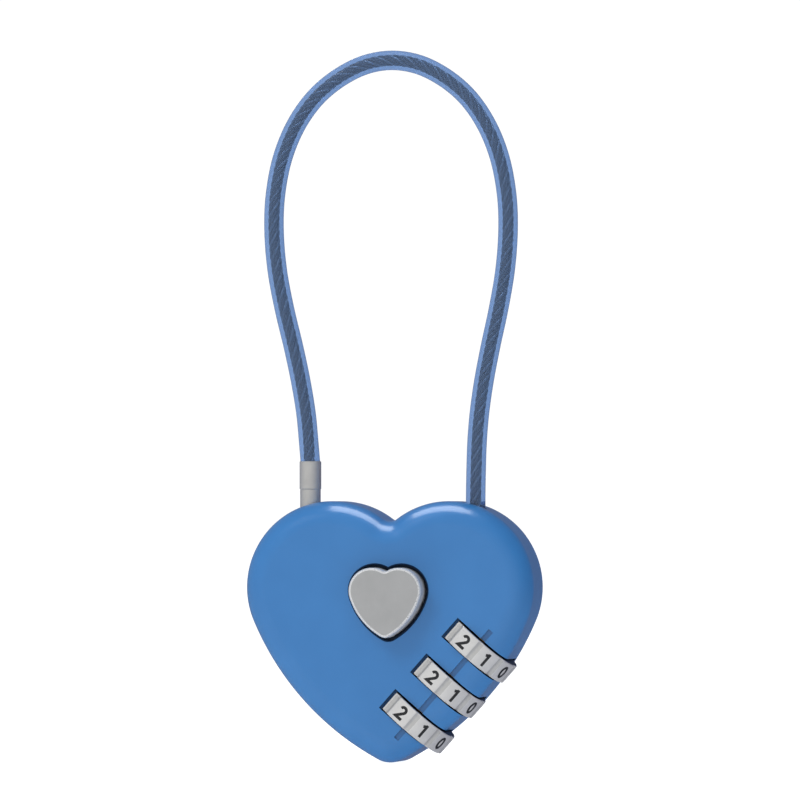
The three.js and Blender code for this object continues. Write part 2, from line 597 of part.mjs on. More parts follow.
// The plate that turns the button's press into the spindle's stroke and pulls the catch.
function releaseSlider() {
  const front = SLIDER_FRONT - DIAL_Y;
  const back = SLIDER_BACK - DIAL_Y;
  const [left, right] = [PRESS_ACROSS - FRAME_HALF, PRESS_ACROSS + FRAME_HALF];
  const plate = (x0, x1, low, high) => solid(block(x0, x1, front, back, low, high));
  const frame = plate(left, right, FRAME_LOW, FRAME_HIGH);
  const neck = plate(PRESS_ACROSS - 1.2, right, FRAME_HIGH - CLEAR, ARM_TOP);
  const forkArm = plate(PRESS_ACROSS, FORK_HALF, FORK_LOW, ARM_TOP);
  const forkTab = solid(block(-FORK_HALF, FORK_HALF, -2, front + 0.1, FORK_LOW, FORK_HIGH));
  const forkSlot = solid(block(-FORK_GAP, FORK_GAP, -3, FORK_GAP, FORK_LOW - 1, FORK_HIGH + 1));
  const catchArm = plate(PIN_ACROSS - 0.6, PRESS_ACROSS, PIN_ALONG - 0.7, PIN_ALONG + 0.9);
  const catchPin = solid(crossRod(CATCH_PIN_R, PIN_ACROSS, PIN_ALONG, -0.8, front + 0.1, 10));
  const springPeg = solid(rod(0.55, ARM_TOP - 0.1, 12.3, 10).translate(PRESS_ACROSS, SLIDER_MIDDLE, 0));
  const stemSides = [PRESS_ACROSS - STEM_ROOM, PRESS_ACROSS + STEM_ROOM];
  const stemWindow = block(...stemSides, 0, 6, WINDOW_LOW, PRESS_ALONG + 2);
  const whole = joined(frame, neck, forkArm, forkTab, catchArm, catchPin, springPeg);
  return cut(whole, forkSlot, solid(stemWindow), rampWindow());
}

// The opening for the two ribs: its upper edge slopes at 45 degrees, parallel to the ribs' ramps.
function rampWindow() {
  const gap = 0.1;
  const rampAt = (depth) => PRESS_ALONG + RAMP_REACH + gap - (depth - RAMP_START);
  const halfWidth = RAMP_OUTER + CLEAR;
  const outline = [-1, 5].map((depth) => [rampAt(depth), depth - DIAL_Y]);
  const [early, late] = outline.map(([, depth]) => depth);
  return solid(ridge(
    [[WINDOW_LOW, early], ...outline, [WINDOW_LOW, late]],
    PRESS_ACROSS - halfWidth,
    PRESS_ACROSS + halfWidth,
  ));
}

dialPiece('release_slider', geometryOf(releaseSlider()), STEEL);

const sliderSpring = coil(1.0, 0.2, ARM_TOP + 0.1, SPRING_SEAT - 0.1, 5);
dialPiece('slider_spring', sliderSpring.translate(PRESS_ACROSS, SLIDER_MIDDLE, 0), STEEL);

// ---------------------------------------------------------------- click spring and screws

const CLICK_FACE = DIAL_BLOCK_INNER - 0.1;
const CLICK_THICK = 0.3;
const FINGER_HALF = 0.9;
const NOSE_R = 0.42;

// A leaf with three fingers whose noses sit in the wheels' grooves.
function clickSpring() {
  const leaf = (back, low, high) => block(CLICK_FACE - CLICK_THICK, CLICK_FACE, ...back, low, high);
  const base = solid(leaf([4.4, 6.4], -SLOT_END, SLOT_END));
  const fingers = WHEEL_STEPS.map((step) => {
    const low = step * DIAL_PITCH - FINGER_HALF;
    const high = step * DIAL_PITCH + FINGER_HALF;
    const nose = rod(NOSE_R, low, high, 10).translate(CLICK_FACE + 0.3, 0.75, 0);
    return joined(solid(leaf([-0.1, 4.6], low, high)), solid(nose));
  });
  const holes = CLICK_SCREWS.map((along) => solid(
    sideRod(SCREW_HOLE_R, CLICK_FACE - 1, CLICK_FACE + 1, 10).translate(0, CLICK_SCREW_DEPTH, along),
  ));
  return cut(joined(base, ...fingers), ...holes);
}

dialPiece('click_spring', geometryOf(clickSpring()), STEEL);

// A small pan-head screw along X: `face` is where its head bears, and the shank runs to `tip`.
function screw(face, tip) {
  const side = Math.sign(face - tip);
  const headTop = face + 0.55 * side;
  const head = sideRod(0.85, face + 0.05 * side, headTop, 12);
  const shank = sideRod(SCREW_R - 0.05, tip, face + 0.1 * side, 12);
  const [low, high] = [headTop - 0.2 * side, headTop + 0.2 * side].sort((a, b) => a - b);
  const driverSlot = block(low, high, -0.15, 0.15, -1, 1);
  return geometryOf(cut(joined(solid(head), solid(shank)), solid(driverSlot)));
}

CLICK_SCREWS.forEach((along, index) => {
  const geometry = screw(CLICK_FACE - CLICK_THICK, DIAL_BLOCK_INNER + 2.4);
  geometry.translate(0, CLICK_SCREW_DEPTH, along);
  dialPiece(`click_screw_${index + 1}`, geometry, STEEL);
});

// ---------------------------------------------------------------- heart button

const STEM_R = 1.7;
const BUTTON_EDGE_R = 0.45;
const SPRING_BORE_R = 1.25;
const SPRING_BORE_FRONT = -2.4;
const FLANGE_FRONT = CAVITY_FRONT + 0.15;
const FLANGE_BACK = FLANGE_FRONT + 1;

// One of the ribs on the button's back; its ramp pushes the slider along the dial axis.
function rampRib(low, high) {
  const root = FLANGE_BACK - BITE;
  const rampLength = RAMP_END - RAMP_START;
  const outline = [
    [-1.5, root], [RAMP_REACH, root], [RAMP_REACH, RAMP_START], [RAMP_REACH - rampLength, RAMP_END],
    [-1.5, RAMP_END],
  ];
  return solid(ridge(outline, low, high).rotateY(radians(DIAL_TILT)));
}

function heartButton() {
  const face = FRONT - BUTTON_PROUD;
  const head = solid(slab(heartShape(BUTTON_HEART, 0, 0.8), face, FLANGE_BACK + 1, BUTTON_EDGE_R, 2));
  const trimmed = head.intersect(solid(block(-9, 9, face - 1, FLANGE_BACK, -9, 9)));
  const flange = solid(slab(heartShape(BUTTON_HEART, 0.8, 0.9), FLANGE_FRONT, FLANGE_BACK));
  const stem = solid(crossRod(STEM_R, 0, 0, FLANGE_BACK - BITE, RAMP_END, 16));
  const ribs = [rampRib(-RAMP_OUTER, -RAMP_INNER + 0.6), rampRib(RAMP_INNER - 0.6, RAMP_OUTER)];
  const springBore = solid(crossRod(SPRING_BORE_R, 0, 0, SPRING_BORE_FRONT, RAMP_END + 1, 16));
  return cut(joined(trimmed, flange, stem, ...ribs), springBore).translate([BUTTON_X, 0, BUTTON_Z]);
}

piece('heart_button', geometryOf(heartButton()), NICKEL);

const buttonSpring = coil(0.9, 0.18, SPRING_BORE_FRONT + 0.1, COVER_FRONT - 0.05, 7)
  .rotateX(-Math.PI / 2)
  .translate(BUTTON_X, 0, BUTTON_Z);
piece('button_spring', buttonSpring, STEEL);

// ---------------------------------------------------------------- catch and plug

// A leaf on the plug guide's inner face, bent over at the top into the plug's groove.
const LEAF_X = -9.05;
const LEAF_THICK = 0.35;
const LEAF_HALF = 1.5;            // half the leaf's width
const CATCH_HALF = 0.4;           // half the height of the nose in the plug's groove

function catchSpring() {
  const depth = [CABLE_Y - LEAF_HALF, CABLE_Y + LEAF_HALF];
  const leaf = solid(block(LEAF_X, LEAF_X + LEAF_THICK, ...depth, 16.6, CATCH_Z + CATCH_HALF));
  const nose = solid(block(-11, LEAF_X + 0.1, ...depth, CATCH_Z - CATCH_HALF, CATCH_Z + CATCH_HALF));
  const hole = solid(sideRod(SCREW_HOLE_R, LEAF_X - 1, LEAF_X + 1).translate(0, CABLE_Y, CATCH_SCREW_Z));
  return leaf.add(nose).subtract(hole);
}

piece('catch_spring', geometryOf(catchSpring()), STEEL);
piece('catch_screw', screw(LEAF_X + LEAF_THICK, -12.2).translate(0, CABLE_Y, CATCH_SCREW_Z), STEEL);

// The plug turns down to a groove that the catch holds, and takes the rope's end in its top.
const GROOVE_LOW = CATCH_Z - 0.8;
const GROOVE_HIGH = CATCH_Z + 0.8;
const ROPE_SOCKET = PLUG_TOP_Z - 3;
const plugPin = turned([
  [0, PLUG_TIP_Z], [0.6, PLUG_TIP_Z], [PLUG_R, PLUG_TIP_Z + 1], [PLUG_R, GROOVE_LOW],
  [NECK_R, GROOVE_LOW], [NECK_R, GROOVE_HIGH], [PLUG_R, GROOVE_HIGH], [PLUG_R, PLUG_TOP_Z],
  [CRIMP_BORE, PLUG_TOP_Z], [CRIMP_BORE, ROPE_SOCKET], [0, ROPE_SOCKET],
], 16);
piece('plug_pin', plugPin.translate(-LEG_X, CABLE_Y, 0), NICKEL);

const ferruleLow = PLUG_TOP_Z + 0.05;
const crimpFerrule = turned([
  [CRIMP_BORE, ferruleLow], [FERRULE_R, ferruleLow], [FERRULE_R, FERRULE_TOP_Z - 0.2],
  [FERRULE_R - 0.2, FERRULE_TOP_Z], [CRIMP_BORE, FERRULE_TOP_Z], [CRIMP_BORE, ferruleLow],
], 20);
piece('crimp_ferrule', crimpFerrule.translate(-LEG_X, CABLE_Y, 0), NICKEL);

const ejector = coil(1.1, 0.2, PLUG_HOLE_LOW + 0.1, PLUG_TIP_Z - 0.1, 6);
piece('ejector_spring', ejector.translate(-LEG_X, CABLE_Y, 0), STEEL);

// ---------------------------------------------------------------- cable and its anchored end

const ANCHOR_R = 2.1;
const anchorFerrule = turned([
  [CRIMP_BORE, ANCHOR_LOW_Z], [ANCHOR_R, ANCHOR_LOW_Z], [ANCHOR_R, ANCHOR_TOP_Z],
  [CRIMP_BORE, ANCHOR_TOP_Z], [CRIMP_BORE, ANCHOR_LOW_Z],
], 16);
piece('anchor_ferrule', anchorFerrule.translate(LEG_X, CABLE_Y, 0), NICKEL);

// The cable's route with its own straight ends, from the right leg over the top to the left leg.
function cablePath(rightEnd, leftEnd) {
  const right = CABLE_ROUTE.map(([x, y, z]) => new THREE.Vector3(x, y, z));
  const left = CABLE_ROUTE.slice(0, -1).reverse().map(([x, y, z]) => new THREE.Vector3(-x, y, z));
  const free = left.filter((point) => point.z > leftEnd + 1);
  return new THREE.CatmullRomCurve3([
    new THREE.Vector3(LEG_X, CABLE_Y, rightEnd),
    ...right,
    ...free,
    new THREE.Vector3(-LEG_X, CABLE_Y, leftEnd),
  ]);
}

const sheathPath = cablePath(ANCHOR_TOP_Z + 0.15, FERRULE_TOP_Z + 0.2);
const ropePath = cablePath(ANCHOR_LOW_Z + 0.5, ROPE_SOCKET + 0.2);
piece('cable_sheath', tube(sheathPath, CABLE_STEPS, CABLE_R, CABLE_SIDES, SHEATH_BORE), SLEEVE_PVC);
piece('wire_rope', tube(ropePath, CABLE_STEPS, ROPE_R, CABLE_SIDES), ROPE);

export default padlock;
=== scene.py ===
import json
import math

import bmesh
import bpy
from mathutils import Matrix, Vector


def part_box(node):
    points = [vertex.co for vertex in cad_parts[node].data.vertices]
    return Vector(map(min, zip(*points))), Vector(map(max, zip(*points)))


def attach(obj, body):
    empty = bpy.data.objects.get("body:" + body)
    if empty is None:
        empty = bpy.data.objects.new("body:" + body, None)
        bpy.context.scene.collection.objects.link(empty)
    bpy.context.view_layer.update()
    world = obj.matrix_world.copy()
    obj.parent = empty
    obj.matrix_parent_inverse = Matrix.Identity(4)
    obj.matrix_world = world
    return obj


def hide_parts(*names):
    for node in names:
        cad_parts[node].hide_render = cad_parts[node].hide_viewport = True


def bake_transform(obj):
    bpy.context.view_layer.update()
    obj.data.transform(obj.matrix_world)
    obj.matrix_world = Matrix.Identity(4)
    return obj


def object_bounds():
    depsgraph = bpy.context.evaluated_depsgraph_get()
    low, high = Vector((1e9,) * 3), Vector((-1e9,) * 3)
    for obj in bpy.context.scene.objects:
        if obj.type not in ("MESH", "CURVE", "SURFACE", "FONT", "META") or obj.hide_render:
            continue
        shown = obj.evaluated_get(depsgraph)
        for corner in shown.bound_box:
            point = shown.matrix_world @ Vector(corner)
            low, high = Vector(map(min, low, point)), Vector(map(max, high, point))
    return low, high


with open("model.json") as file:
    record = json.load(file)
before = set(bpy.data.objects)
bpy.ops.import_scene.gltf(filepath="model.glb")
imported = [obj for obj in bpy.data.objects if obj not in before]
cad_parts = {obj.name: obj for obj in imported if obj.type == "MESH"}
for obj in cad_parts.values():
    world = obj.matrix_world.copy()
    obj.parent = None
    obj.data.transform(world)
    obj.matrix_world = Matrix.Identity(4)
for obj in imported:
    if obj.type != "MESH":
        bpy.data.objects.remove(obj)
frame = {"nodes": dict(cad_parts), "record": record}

# Heart-shaped combination cable padlock. Shapes are made in millimetres in the lock's own frame, measured
# from the heart's tip and the middle of the case's depth, and move into the CAD frame when finished.

CAD_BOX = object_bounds()
MM = 0.001

# ------ driving dimensions, as in the CAD but for BUTTON_X and SLOT_EXTRA

CASE_HEART = dict(
    lobe_x=8.45, lobe_z=24.9, lobe_r=12.25, side_r=40, tip_r=3.7, cleft_r=1.6, tip_z=0,
)
BUTTON_HEART = dict(
    lobe_x=1.94, lobe_z=1.65, lobe_r=3.26, side_r=9.73, tip_r=1.13, cleft_r=0.76, tip_z=-5.01,
)

CASE_DEPTH = 13.4
FRONT = -CASE_DEPTH / 2
BACK = CASE_DEPTH / 2
FRONT_EDGE_R = 3.4
BACK_EDGE_R = 2.4
FRONT_WALL = 1.6
COVER_INSET = 3.8
COVER_THICK = 1.1
COVER_GAP = 0.12
CAVITY_INSET = 4.9
CAVITY_FRONT = FRONT + FRONT_WALL
COVER_FRONT = BACK - COVER_THICK

BUTTON_X = 0.28
BUTTON_Z = 22.8
BUTTON_PROUD = 3.2
BUTTON_GAP = 0.4
TRAVEL = 1.5

DIAL_CENTRE = Vector((7.4, -0.98, 11.7))
DIAL_TILT = math.radians(41.6)
DIAL_PITCH = 6.75
WHEEL_STEPS = (1, 0, -1)  # each wheel's place along the dial axis, in pitches
WHEEL_R = 6.48
WHEEL_WIDTH = 3.15
WHEEL_BORE = 3.8
SLOT_R = 6.85
SLOT_WIDTH = 3.45
SLOT_EXTRA = 0.12  # more room on each wheel's upper side, where the gap shows
DIGIT_PITCH = math.radians(36)
GROOVE_PHASE = math.radians(11)

LEG_X = 11.95
CABLE_Y = -1.2
CABLE_R = 1.4
ROPE_R = 0.6
PLUG_R = 1.47
PLUG_HOLE_R = 1.7
PLUG_TIP_Z = 24.6
PLUG_TOP_Z = 38.85
CATCH_Z = 28.9
FERRULE_TOP_Z = 42.85
FERRULE_R = 1.55
ANCHOR_TOP_Z = 33.4

# The cable's centre line over the right half, from the case up to the top of the loop.
CABLE_ROUTE = [
    (11.95, -1.2, 38.0), (12.02, -1.25, 41.5), (12.17, -1.35, 45.5), (12.52, -1.5, 49.5),
    (13.2, -1.8, 54.0), (14.21, -2.1, 59.0), (15.47, -2.5, 64.5), (16.46, -2.8, 70.0),
    (16.9, -2.95, 75.5), (16.73, -3.0, 80.5), (15.68, -3.0, 86.0), (13.69, -2.9, 90.8),
    (10.9, -2.7, 94.7), (7.5, -2.5, 97.5), (3.8, -2.35, 99.3), (0, -2.3, 99.9),
]

RIVETS = [(-15.3, 25.2), (15.3, 25.2), (-5.2, 30.2), (-7.6, 12.2)]
RIVET_R = 0.9
RIVET_HEAD_R = 1.3
RIVET_TIP_Y = -2

# The button's face and the heart's tip place the lock's own frame in the CAD frame.
LOCK_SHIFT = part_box("heart_button")[0].y / MM - (FRONT - BUTTON_PROUD)
LOCK_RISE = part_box("body_casting")[0].z / MM - CASE_HEART["tip_z"]
TO_FRAME = Matrix.Scale(MM, 4) @ Matrix.Translation((0, LOCK_SHIFT, LOCK_RISE))
DIALS = Matrix.Translation(DIAL_CENTRE) @ Matrix.Rotation(DIAL_TILT, 4, "Y")
TO_DIALS = DIALS.inverted()

# ------ camera, lights and floor

CAMERA_AZIMUTH = math.radians(10)
CAMERA_ELEVATION = math.radians(-0.7)
CAMERA_DISTANCE = 1.3
FRAME_WIDTH = 0.1139  # metres across the picture at the padlock
AIM = TO_FRAME @ Vector((0, -1, 0))
AIM_RIGHT = 0.00097  # the picture's middle is this far from the heart's tip
AIM_UP = 0.05155
LIT_POINT = TO_FRAME @ Vector((0, 0, 30))
DIM_AZIMUTH = math.radians(25)  # the dim part of the studio is behind the padlock and to its right


def look_from(azimuth, elevation):
    """The unit vector from the padlock to a place at that azimuth, from the front to the right."""
    level = math.cos(elevation)
    return Vector((math.sin(azimuth) * level, -math.cos(azimuth) * level, math.sin(elevation)))


def add_camera():
    data = bpy.data.cameras.new("camera")
    camera = bpy.data.objects.new("camera", data)
    bpy.context.scene.collection.objects.link(camera)
    back = look_from(CAMERA_AZIMUTH, CAMERA_ELEVATION)
    turn = (-back).to_track_quat("-Z", "Y")
    right = turn @ Vector((1, 0, 0))
    up = turn @ Vector((0, 1, 0))
    target = AIM + right * AIM_RIGHT + up * AIM_UP
    camera.location = target + back * CAMERA_DISTANCE
    camera.rotation_mode = "QUATERNION"
    camera.rotation_quaternion = turn
    data.sensor_width = 36
    data.lens = data.sensor_width * CAMERA_DISTANCE / FRAME_WIDTH
    data.clip_start = 0.05
    data.clip_end = 30
    bpy.context.scene.camera = camera


def add_softbox(name, azimuth, elevation, distance, width, height, watts, mirrored=False):
    """A rectangular area light that faces the middle of the case. Only a mirrored one gives highlights."""
    data = bpy.data.lights.new(name, "AREA")
    data.shape = "RECTANGLE"
    data.size = width
    data.size_y = height
    data.energy = watts
    light = bpy.data.objects.new(name, data)
    bpy.context.scene.collection.objects.link(light)
    back = look_from(math.radians(azimuth), math.radians(elevation))
    light.location = LIT_POINT + back * distance
    light.rotation_mode = "QUATERNION"
    light.rotation_quaternion = (-back).to_track_quat("-Z", "Y")
    light.visible_camera = False
    light.visible_glossy = mirrored
    return light


def add_lights():
    add_softbox("key_light", azimuth=-35, elevation=42, distance=0.60, width=0.22, height=0.22, watts=1.3)
    add_softbox("fill_light", azimuth=30, elevation=10, distance=0.90, width=0.7, height=0.7, watts=0.5)
    add_softbox("top_light", azimuth=10, elevation=88, distance=0.40, width=0.16, height=0.22, watts=0.8)
    add_crown_light()


def add_crown_light():
    """A small light close over the heart, which gives the two highlights along the case's upper edge."""
    crown = add_softbox("crown_light", azimuth=0, elevation=90, distance=0.027, width=0.027, height=0.014,
                        watts=0.0055, mirrored=True)
    crown.location.x = 0.002
    crown.location.y = TO_FRAME.translation.y + FRONT * MM
    crown.visible_diffuse = False
    crown.visible_transmission = False
    only_case = bpy.data.collections.new("crown_light_only")
    only_case.objects.link(bpy.data.objects["heart_case"])
    crown.light_linking.receiver_collection = only_case


# The studio's light from the front round to the back, as (place, colour) stops.
STUDIO_SHADES = [(0, (0.66, 0.67, 0.68)), (0.5, (0.34, 0.37, 0.44)), (1, (0.11, 0.12, 0.20))]
SLEEVE_SHADES = [(0, (0.50, 0.52, 0.56)), (0.5, (0.74, 0.76, 0.80))]
BACKDROP_STRENGTH = 1.05


def front_to_back(nodes, links):
    """0 where the studio is in front of the padlock, 1 where it is behind it."""
    direction = nodes.new("ShaderNodeTexCoord")
    away = nodes.new("ShaderNodeVectorMath")
    away.operation = "DOT_PRODUCT"
    away.inputs[1].default_value = (math.sin(DIM_AZIMUTH), math.cos(DIM_AZIMUTH), 0)
    links.new(direction.outputs["Generated"], away.inputs[0])
    depth = nodes.new("ShaderNodeMapRange")
    depth.inputs["From Min"].default_value = -1
    depth.inputs["From Max"].default_value = 1
    links.new(away.outputs["Value"], depth.inputs["Value"])
    return depth.outputs["Result"]


def shaded_background(nodes, links, depth, shades):
    """A background that runs through the shades as depth goes from 0 to 1."""
    ramp = nodes.new("ShaderNodeValToRGB")
    stops = ramp.color_ramp.elements
    while len(stops) < len(shades):
        stops.new(1)
    for stop, (place, colour) in zip(stops, shades):
        stop.position = place
        stop.color = (*colour, 1)
    links.new(depth, ramp.inputs["Fac"])
    background = nodes.new("ShaderNodeBackground")
    links.new(ramp.outputs["Color"], background.inputs["Color"])
    return background.outputs[0]


def either(nodes, links, choice, no, yes):
    """The shader `yes` for the rays that the choice holds for, and `no` for the others."""
    mix = nodes.new("ShaderNodeMixShader")
    links.new(choice, mix.inputs["Fac"])
    links.new(no, mix.inputs[1])
    links.new(yes, mix.inputs[2])
    return mix.outputs[0]


def add_world():
    """A plain studio: white where it is seen, with its own shades through the clear sleeve, and as light
    bright in front of the padlock and dim behind it."""
    world = bpy.data.worlds.new("studio")
    bpy.context.scene.world = world
    world.use_nodes = True
    nodes = world.node_tree.nodes
    links = world.node_tree.links
    nodes.clear()
    backdrop = nodes.new("ShaderNodeBackground")
    backdrop.inputs["Color"].default_value = (1, 1, 1, 1)
    backdrop.inputs["Strength"].default_value = BACKDROP_STRENGTH
    depth = front_to_back(nodes, links)
    lighting = shaded_background(nodes, links, depth, STUDIO_SHADES)
    through_sleeve = shaded_background(nodes, links, depth, SLEEVE_SHADES)
    ray = nodes.new("ShaderNodeLightPath")
    unseen = either(nodes, links, ray.outputs["Is Transmission Ray"], lighting, through_sleeve)
    shown = either(nodes, links, ray.outputs["Is Camera Ray"], unseen, backdrop.outputs[0])
    output = nodes.new("ShaderNodeOutputWorld")
    links.new(shown, output.inputs["Surface"])


FLOOR_R = 12
FLOOR_DROP = 0.00002


def add_floor():
    """A plain floor as white as the backdrop, far wider than the view, just under the heart's tip."""
    mesh = bpy.data.meshes.new("floor")
    bm = bmesh.new()
    bmesh.ops.create_circle(bm, cap_ends=True, radius=FLOOR_R, segments=96)
    bm.to_mesh(mesh)
    bm.free()
    floor = bpy.data.objects.new("floor", mesh)
    floor.location.z = CAD_BOX[0].z - FLOOR_DROP
    bpy.context.scene.collection.objects.link(floor)
    material = bpy.data.materials.new("floor_white")
    material.use_nodes = True
    shader = material.node_tree.nodes["Principled BSDF"]
    shader.inputs["Base Color"].default_value = (0.5, 0.5, 0.5, 1)
    shader.inputs["Roughness"].default_value = 0.8
    shader.inputs["Specular IOR Level"].default_value = 0.1
    shader.inputs["Emission Color"].default_value = (1, 1, 1, 1)
    shader.inputs["Emission Strength"].default_value = 0.95
    mesh.materials.append(material)
    floor.visible_glossy = False
    floor.visible_transmission = False


def set_colour_view():
    view = bpy.context.scene.view_settings
    view.view_transform = "Standard"
    view.look = "None"
    view.exposure = 0
    view.gamma = 1


# ------ materials

class Look:
    """One procedural material: a Principled shader and short calls that add nodes to it."""

    def __init__(self, name, colour, roughness, metallic=0.0):
        self.material = bpy.data.materials.new(name)
        self.material.use_nodes = True
        self.nodes = self.material.node_tree.nodes
        self.links = self.material.node_tree.links
        self.shader = self.nodes["Principled BSDF"]
        self.shader.inputs["Base Color"].default_value = (*colour, 1)
        self.shader.inputs["Roughness"].default_value = roughness
        self.shader.inputs["Metallic"].default_value = metallic
        self.colour = colour
        self.roughness = roughness

    def set(self, **values):
        for name, value in values.items():
            self.shader.inputs[name.replace("_", " ")].default_value = value

    def add(self, kind, **values):
        node = self.nodes.new(kind)
        for name, value in values.items():
            node.inputs[name.replace("_", " ")].default_value = value
        return node

    def place(self, stretch=(1, 1, 1)):
        """Object coordinates in millimetres, stretched."""
        coordinates = self.add("ShaderNodeTexCoord")
        mapping = self.add("ShaderNodeMapping", Scale=Vector(stretch) / MM)
        self.links.new(coordinates.outputs["Object"], mapping.inputs["Vector"])
        return mapping.outputs["Vector"]

    def noise(self, scale, stretch=(1, 1, 1), detail=3.0):
        node = self.add("ShaderNodeTexNoise", Scale=scale, Detail=detail, Roughness=0.6)
        self.links.new(self.place(stretch), node.inputs["Vector"])
        return node.outputs["Fac"]

    def ramp(self, source, low, high, start, end):
        """Maps source's start..end to low..high."""
        node = self.add("ShaderNodeMapRange")
        node.inputs["From Min"].default_value = start
        node.inputs["From Max"].default_value = end
        node.inputs["To Min"].default_value = low
        node.inputs["To Max"].default_value = high
        self.links.new(source, node.inputs["Value"])
        return node.outputs["Result"]

    def vary_roughness(self, source, spread):
        """Noise lies mostly between 0.3 and 0.7, so that range gives the whole spread."""
        value = self.ramp(source, self.roughness - spread, self.roughness + spread, 0.3, 0.7)
        self.links.new(value, self.shader.inputs["Roughness"])

    def vary_colour(self, source, other):
        mix = self.nodes.new("ShaderNodeMix")
        mix.data_type = "RGBA"
        mix.inputs["A"].default_value = (*self.colour, 1)
        mix.inputs["B"].default_value = (*other, 1)
        self.links.new(self.ramp(source, 0, 1, 0.35, 0.65), mix.inputs["Factor"])
        self.links.new(mix.outputs["Result"], self.shader.inputs["Base Color"])

    def bump(self, source, depth):
        """Raises the surface by up to depth millimetres."""
        node = self.add("ShaderNodeBump", Strength=1.0, Distance=depth * MM)
        self.links.new(source, node.inputs["Height"])
        self.links.new(node.outputs["Normal"], self.shader.inputs["Normal"])


def case_paint(name, colour, shade):
    look = Look(name, colour, roughness=0.30)
    look.set(Coat_Weight=0.55, Coat_Roughness=0.13, Coat_IOR=1.5, Specular_IOR_Level=0.5)
    look.vary_colour(look.noise(0.12, detail=2), shade)
    look.bump(look.noise(1.1, detail=1), 0.003)
    return look.material


def painted_gap_shade():
    """Painted shade: a dull dark navy on the walls inside the slots and round the button, where shade
    falls.
    """
    look = Look("painted_shade_navy", (0.005, 0.022, 0.060), roughness=0.65)
    look.set(Specular_IOR_Level=0.15)
    look.vary_colour(look.noise(0.6, detail=2), (0.007, 0.028, 0.072))
    look.bump(look.noise(1.1, detail=1), 0.003)
    return look.material


def brushed_metal(name, colour, shade, roughness, stretch, metallic=1.0):
    """Plated or bare metal with fine grain drawn out along one direction."""
    look = Look(name, colour, roughness, metallic)
    grain = look.noise(4.0, stretch, detail=4)
    look.vary_colour(look.noise(0.35, detail=3), shade)
    look.vary_roughness(grain, 0.06)
    look.bump(grain, 0.003)
    return look.material


def strand_metal(name, colour, shade):
    """Drawn wire seen through the sleeve: smooth, with soft patches of a second tone."""
    look = Look(name, colour, roughness=0.40, metallic=1.0)
    look.vary_colour(look.noise(0.6, detail=2), shade)
    look.vary_roughness(look.noise(0.3, detail=1), 0.04)
    look.bump(look.noise(0.5, detail=1), 0.002)
    return look.material


def clear_sleeve():
    look = Look("sleeve_blue_pvc", (0.24, 0.40, 0.72), roughness=0.07)
    look.set(Transmission_Weight=0.84, IOR=1.35, Coat_Weight=0.25, Coat_Roughness=0.05)
    look.vary_roughness(look.noise(1.4), 0.03)
    look.bump(look.noise(0.8, detail=2), 0.004)
    return look.material


def number_ink():
    look = Look("number_ink", (0.012, 0.012, 0.013), roughness=0.42)
    look.vary_roughness(look.noise(6), 0.08)
    look.bump(look.noise(12), 0.002)
    return look.material


LOOKS = {
    "case_paint": case_paint("enamel_blue", (0.019, 0.145, 0.380), (0.022, 0.155, 0.400)),
    # A darker copy of the case paint for the code line's groove: painted shade.
    "painted_recess_shade": case_paint("painted_shade_blue", (0.016, 0.110, 0.295), (0.017, 0.116, 0.310)),
    # The dark navy for the slots' and the button hole's walls is painted shade.
    "painted_gap_shade": painted_gap_shade(),
    "wheel_metal": brushed_metal(
        "wheel_nickel", (0.84, 0.825, 0.80), (0.79, 0.775, 0.75), 0.42, (1, 0.2, 1), metallic=0.75),
    # A darker copy of the wheel metal for the grooves' floors: painted shade.
    "painted_groove_shade": brushed_metal(
        "painted_shade_groove_nickel", (0.66, 0.65, 0.63), (0.61, 0.60, 0.58), 0.48, (1, 0.2, 1), metallic=0.75),
    # Dark metal for the wheels' sides and the button's flange: painted shade in the gaps.
    "painted_shade_metal": brushed_metal("painted_shade_metal", (0.05, 0.07, 0.11), (0.04, 0.055, 0.09), 0.5, (1, 1, 1)),
    "button_metal": brushed_metal(
        "button_nickel", (0.485, 0.485, 0.48), (0.46, 0.46, 0.455), 0.36, (1, 1, 0.15), metallic=0.7),
    # A lighter bluish grey for the button's side wall: painted light and a painted reflection of the blue
    # case.
    "painted_light_wall": brushed_metal(
        "painted_light_wall", (0.50, 0.52, 0.55), (0.47, 0.49, 0.52), 0.40, (1, 1, 0.15), metallic=0.2),
    # A lighter copy of the button metal for its rounded rim: painted highlight.
    "painted_highlight_rim": brushed_metal(
        "painted_highlight_nickel", (0.74, 0.74, 0.73), (0.70, 0.70, 0.69), 0.30, (1, 1, 1), metallic=0.5),
    "plug_metal": brushed_metal(
        "plug_nickel", (0.67, 0.655, 0.625), (0.62, 0.605, 0.58), 0.38, (1, 1, 0.12), metallic=0.85),
    "steel": brushed_metal("bright_steel", (0.46, 0.47, 0.48), (0.38, 0.39, 0.40), 0.34, (1, 0.25, 1)),
    "spring_steel": brushed_metal("spring_wire", (0.36, 0.36, 0.37), (0.28, 0.28, 0.29), 0.30, (1, 1, 0.3)),
    "brass": brushed_metal("turned_brass", (0.66, 0.47, 0.18), (0.56, 0.38, 0.13), 0.32, (1, 1, 0.2)),
    "rope_steel": strand_metal("rope_strands", (0.19, 0.195, 0.20), (0.16, 0.165, 0.17)),
    # A darker copy of the strand metal for the core and every second strand: painted shade.
    "painted_shade_rope": strand_metal("painted_shade_strands", (0.05, 0.053, 0.058), (0.04, 0.043, 0.047)),
    "sheath_pvc": clear_sleeve(),
    "digit_ink": number_ink(),
}

# ------ outlines

def arc(x, z, radius, start, end, steps):
    """Points on an arc in the X-Z plane, end point left out."""
    points = []
    for i in range(steps):
        angle = start + (end - start) * i / steps
        points.append((x + radius * math.cos(angle), z + radius * math.sin(angle)))
    return points


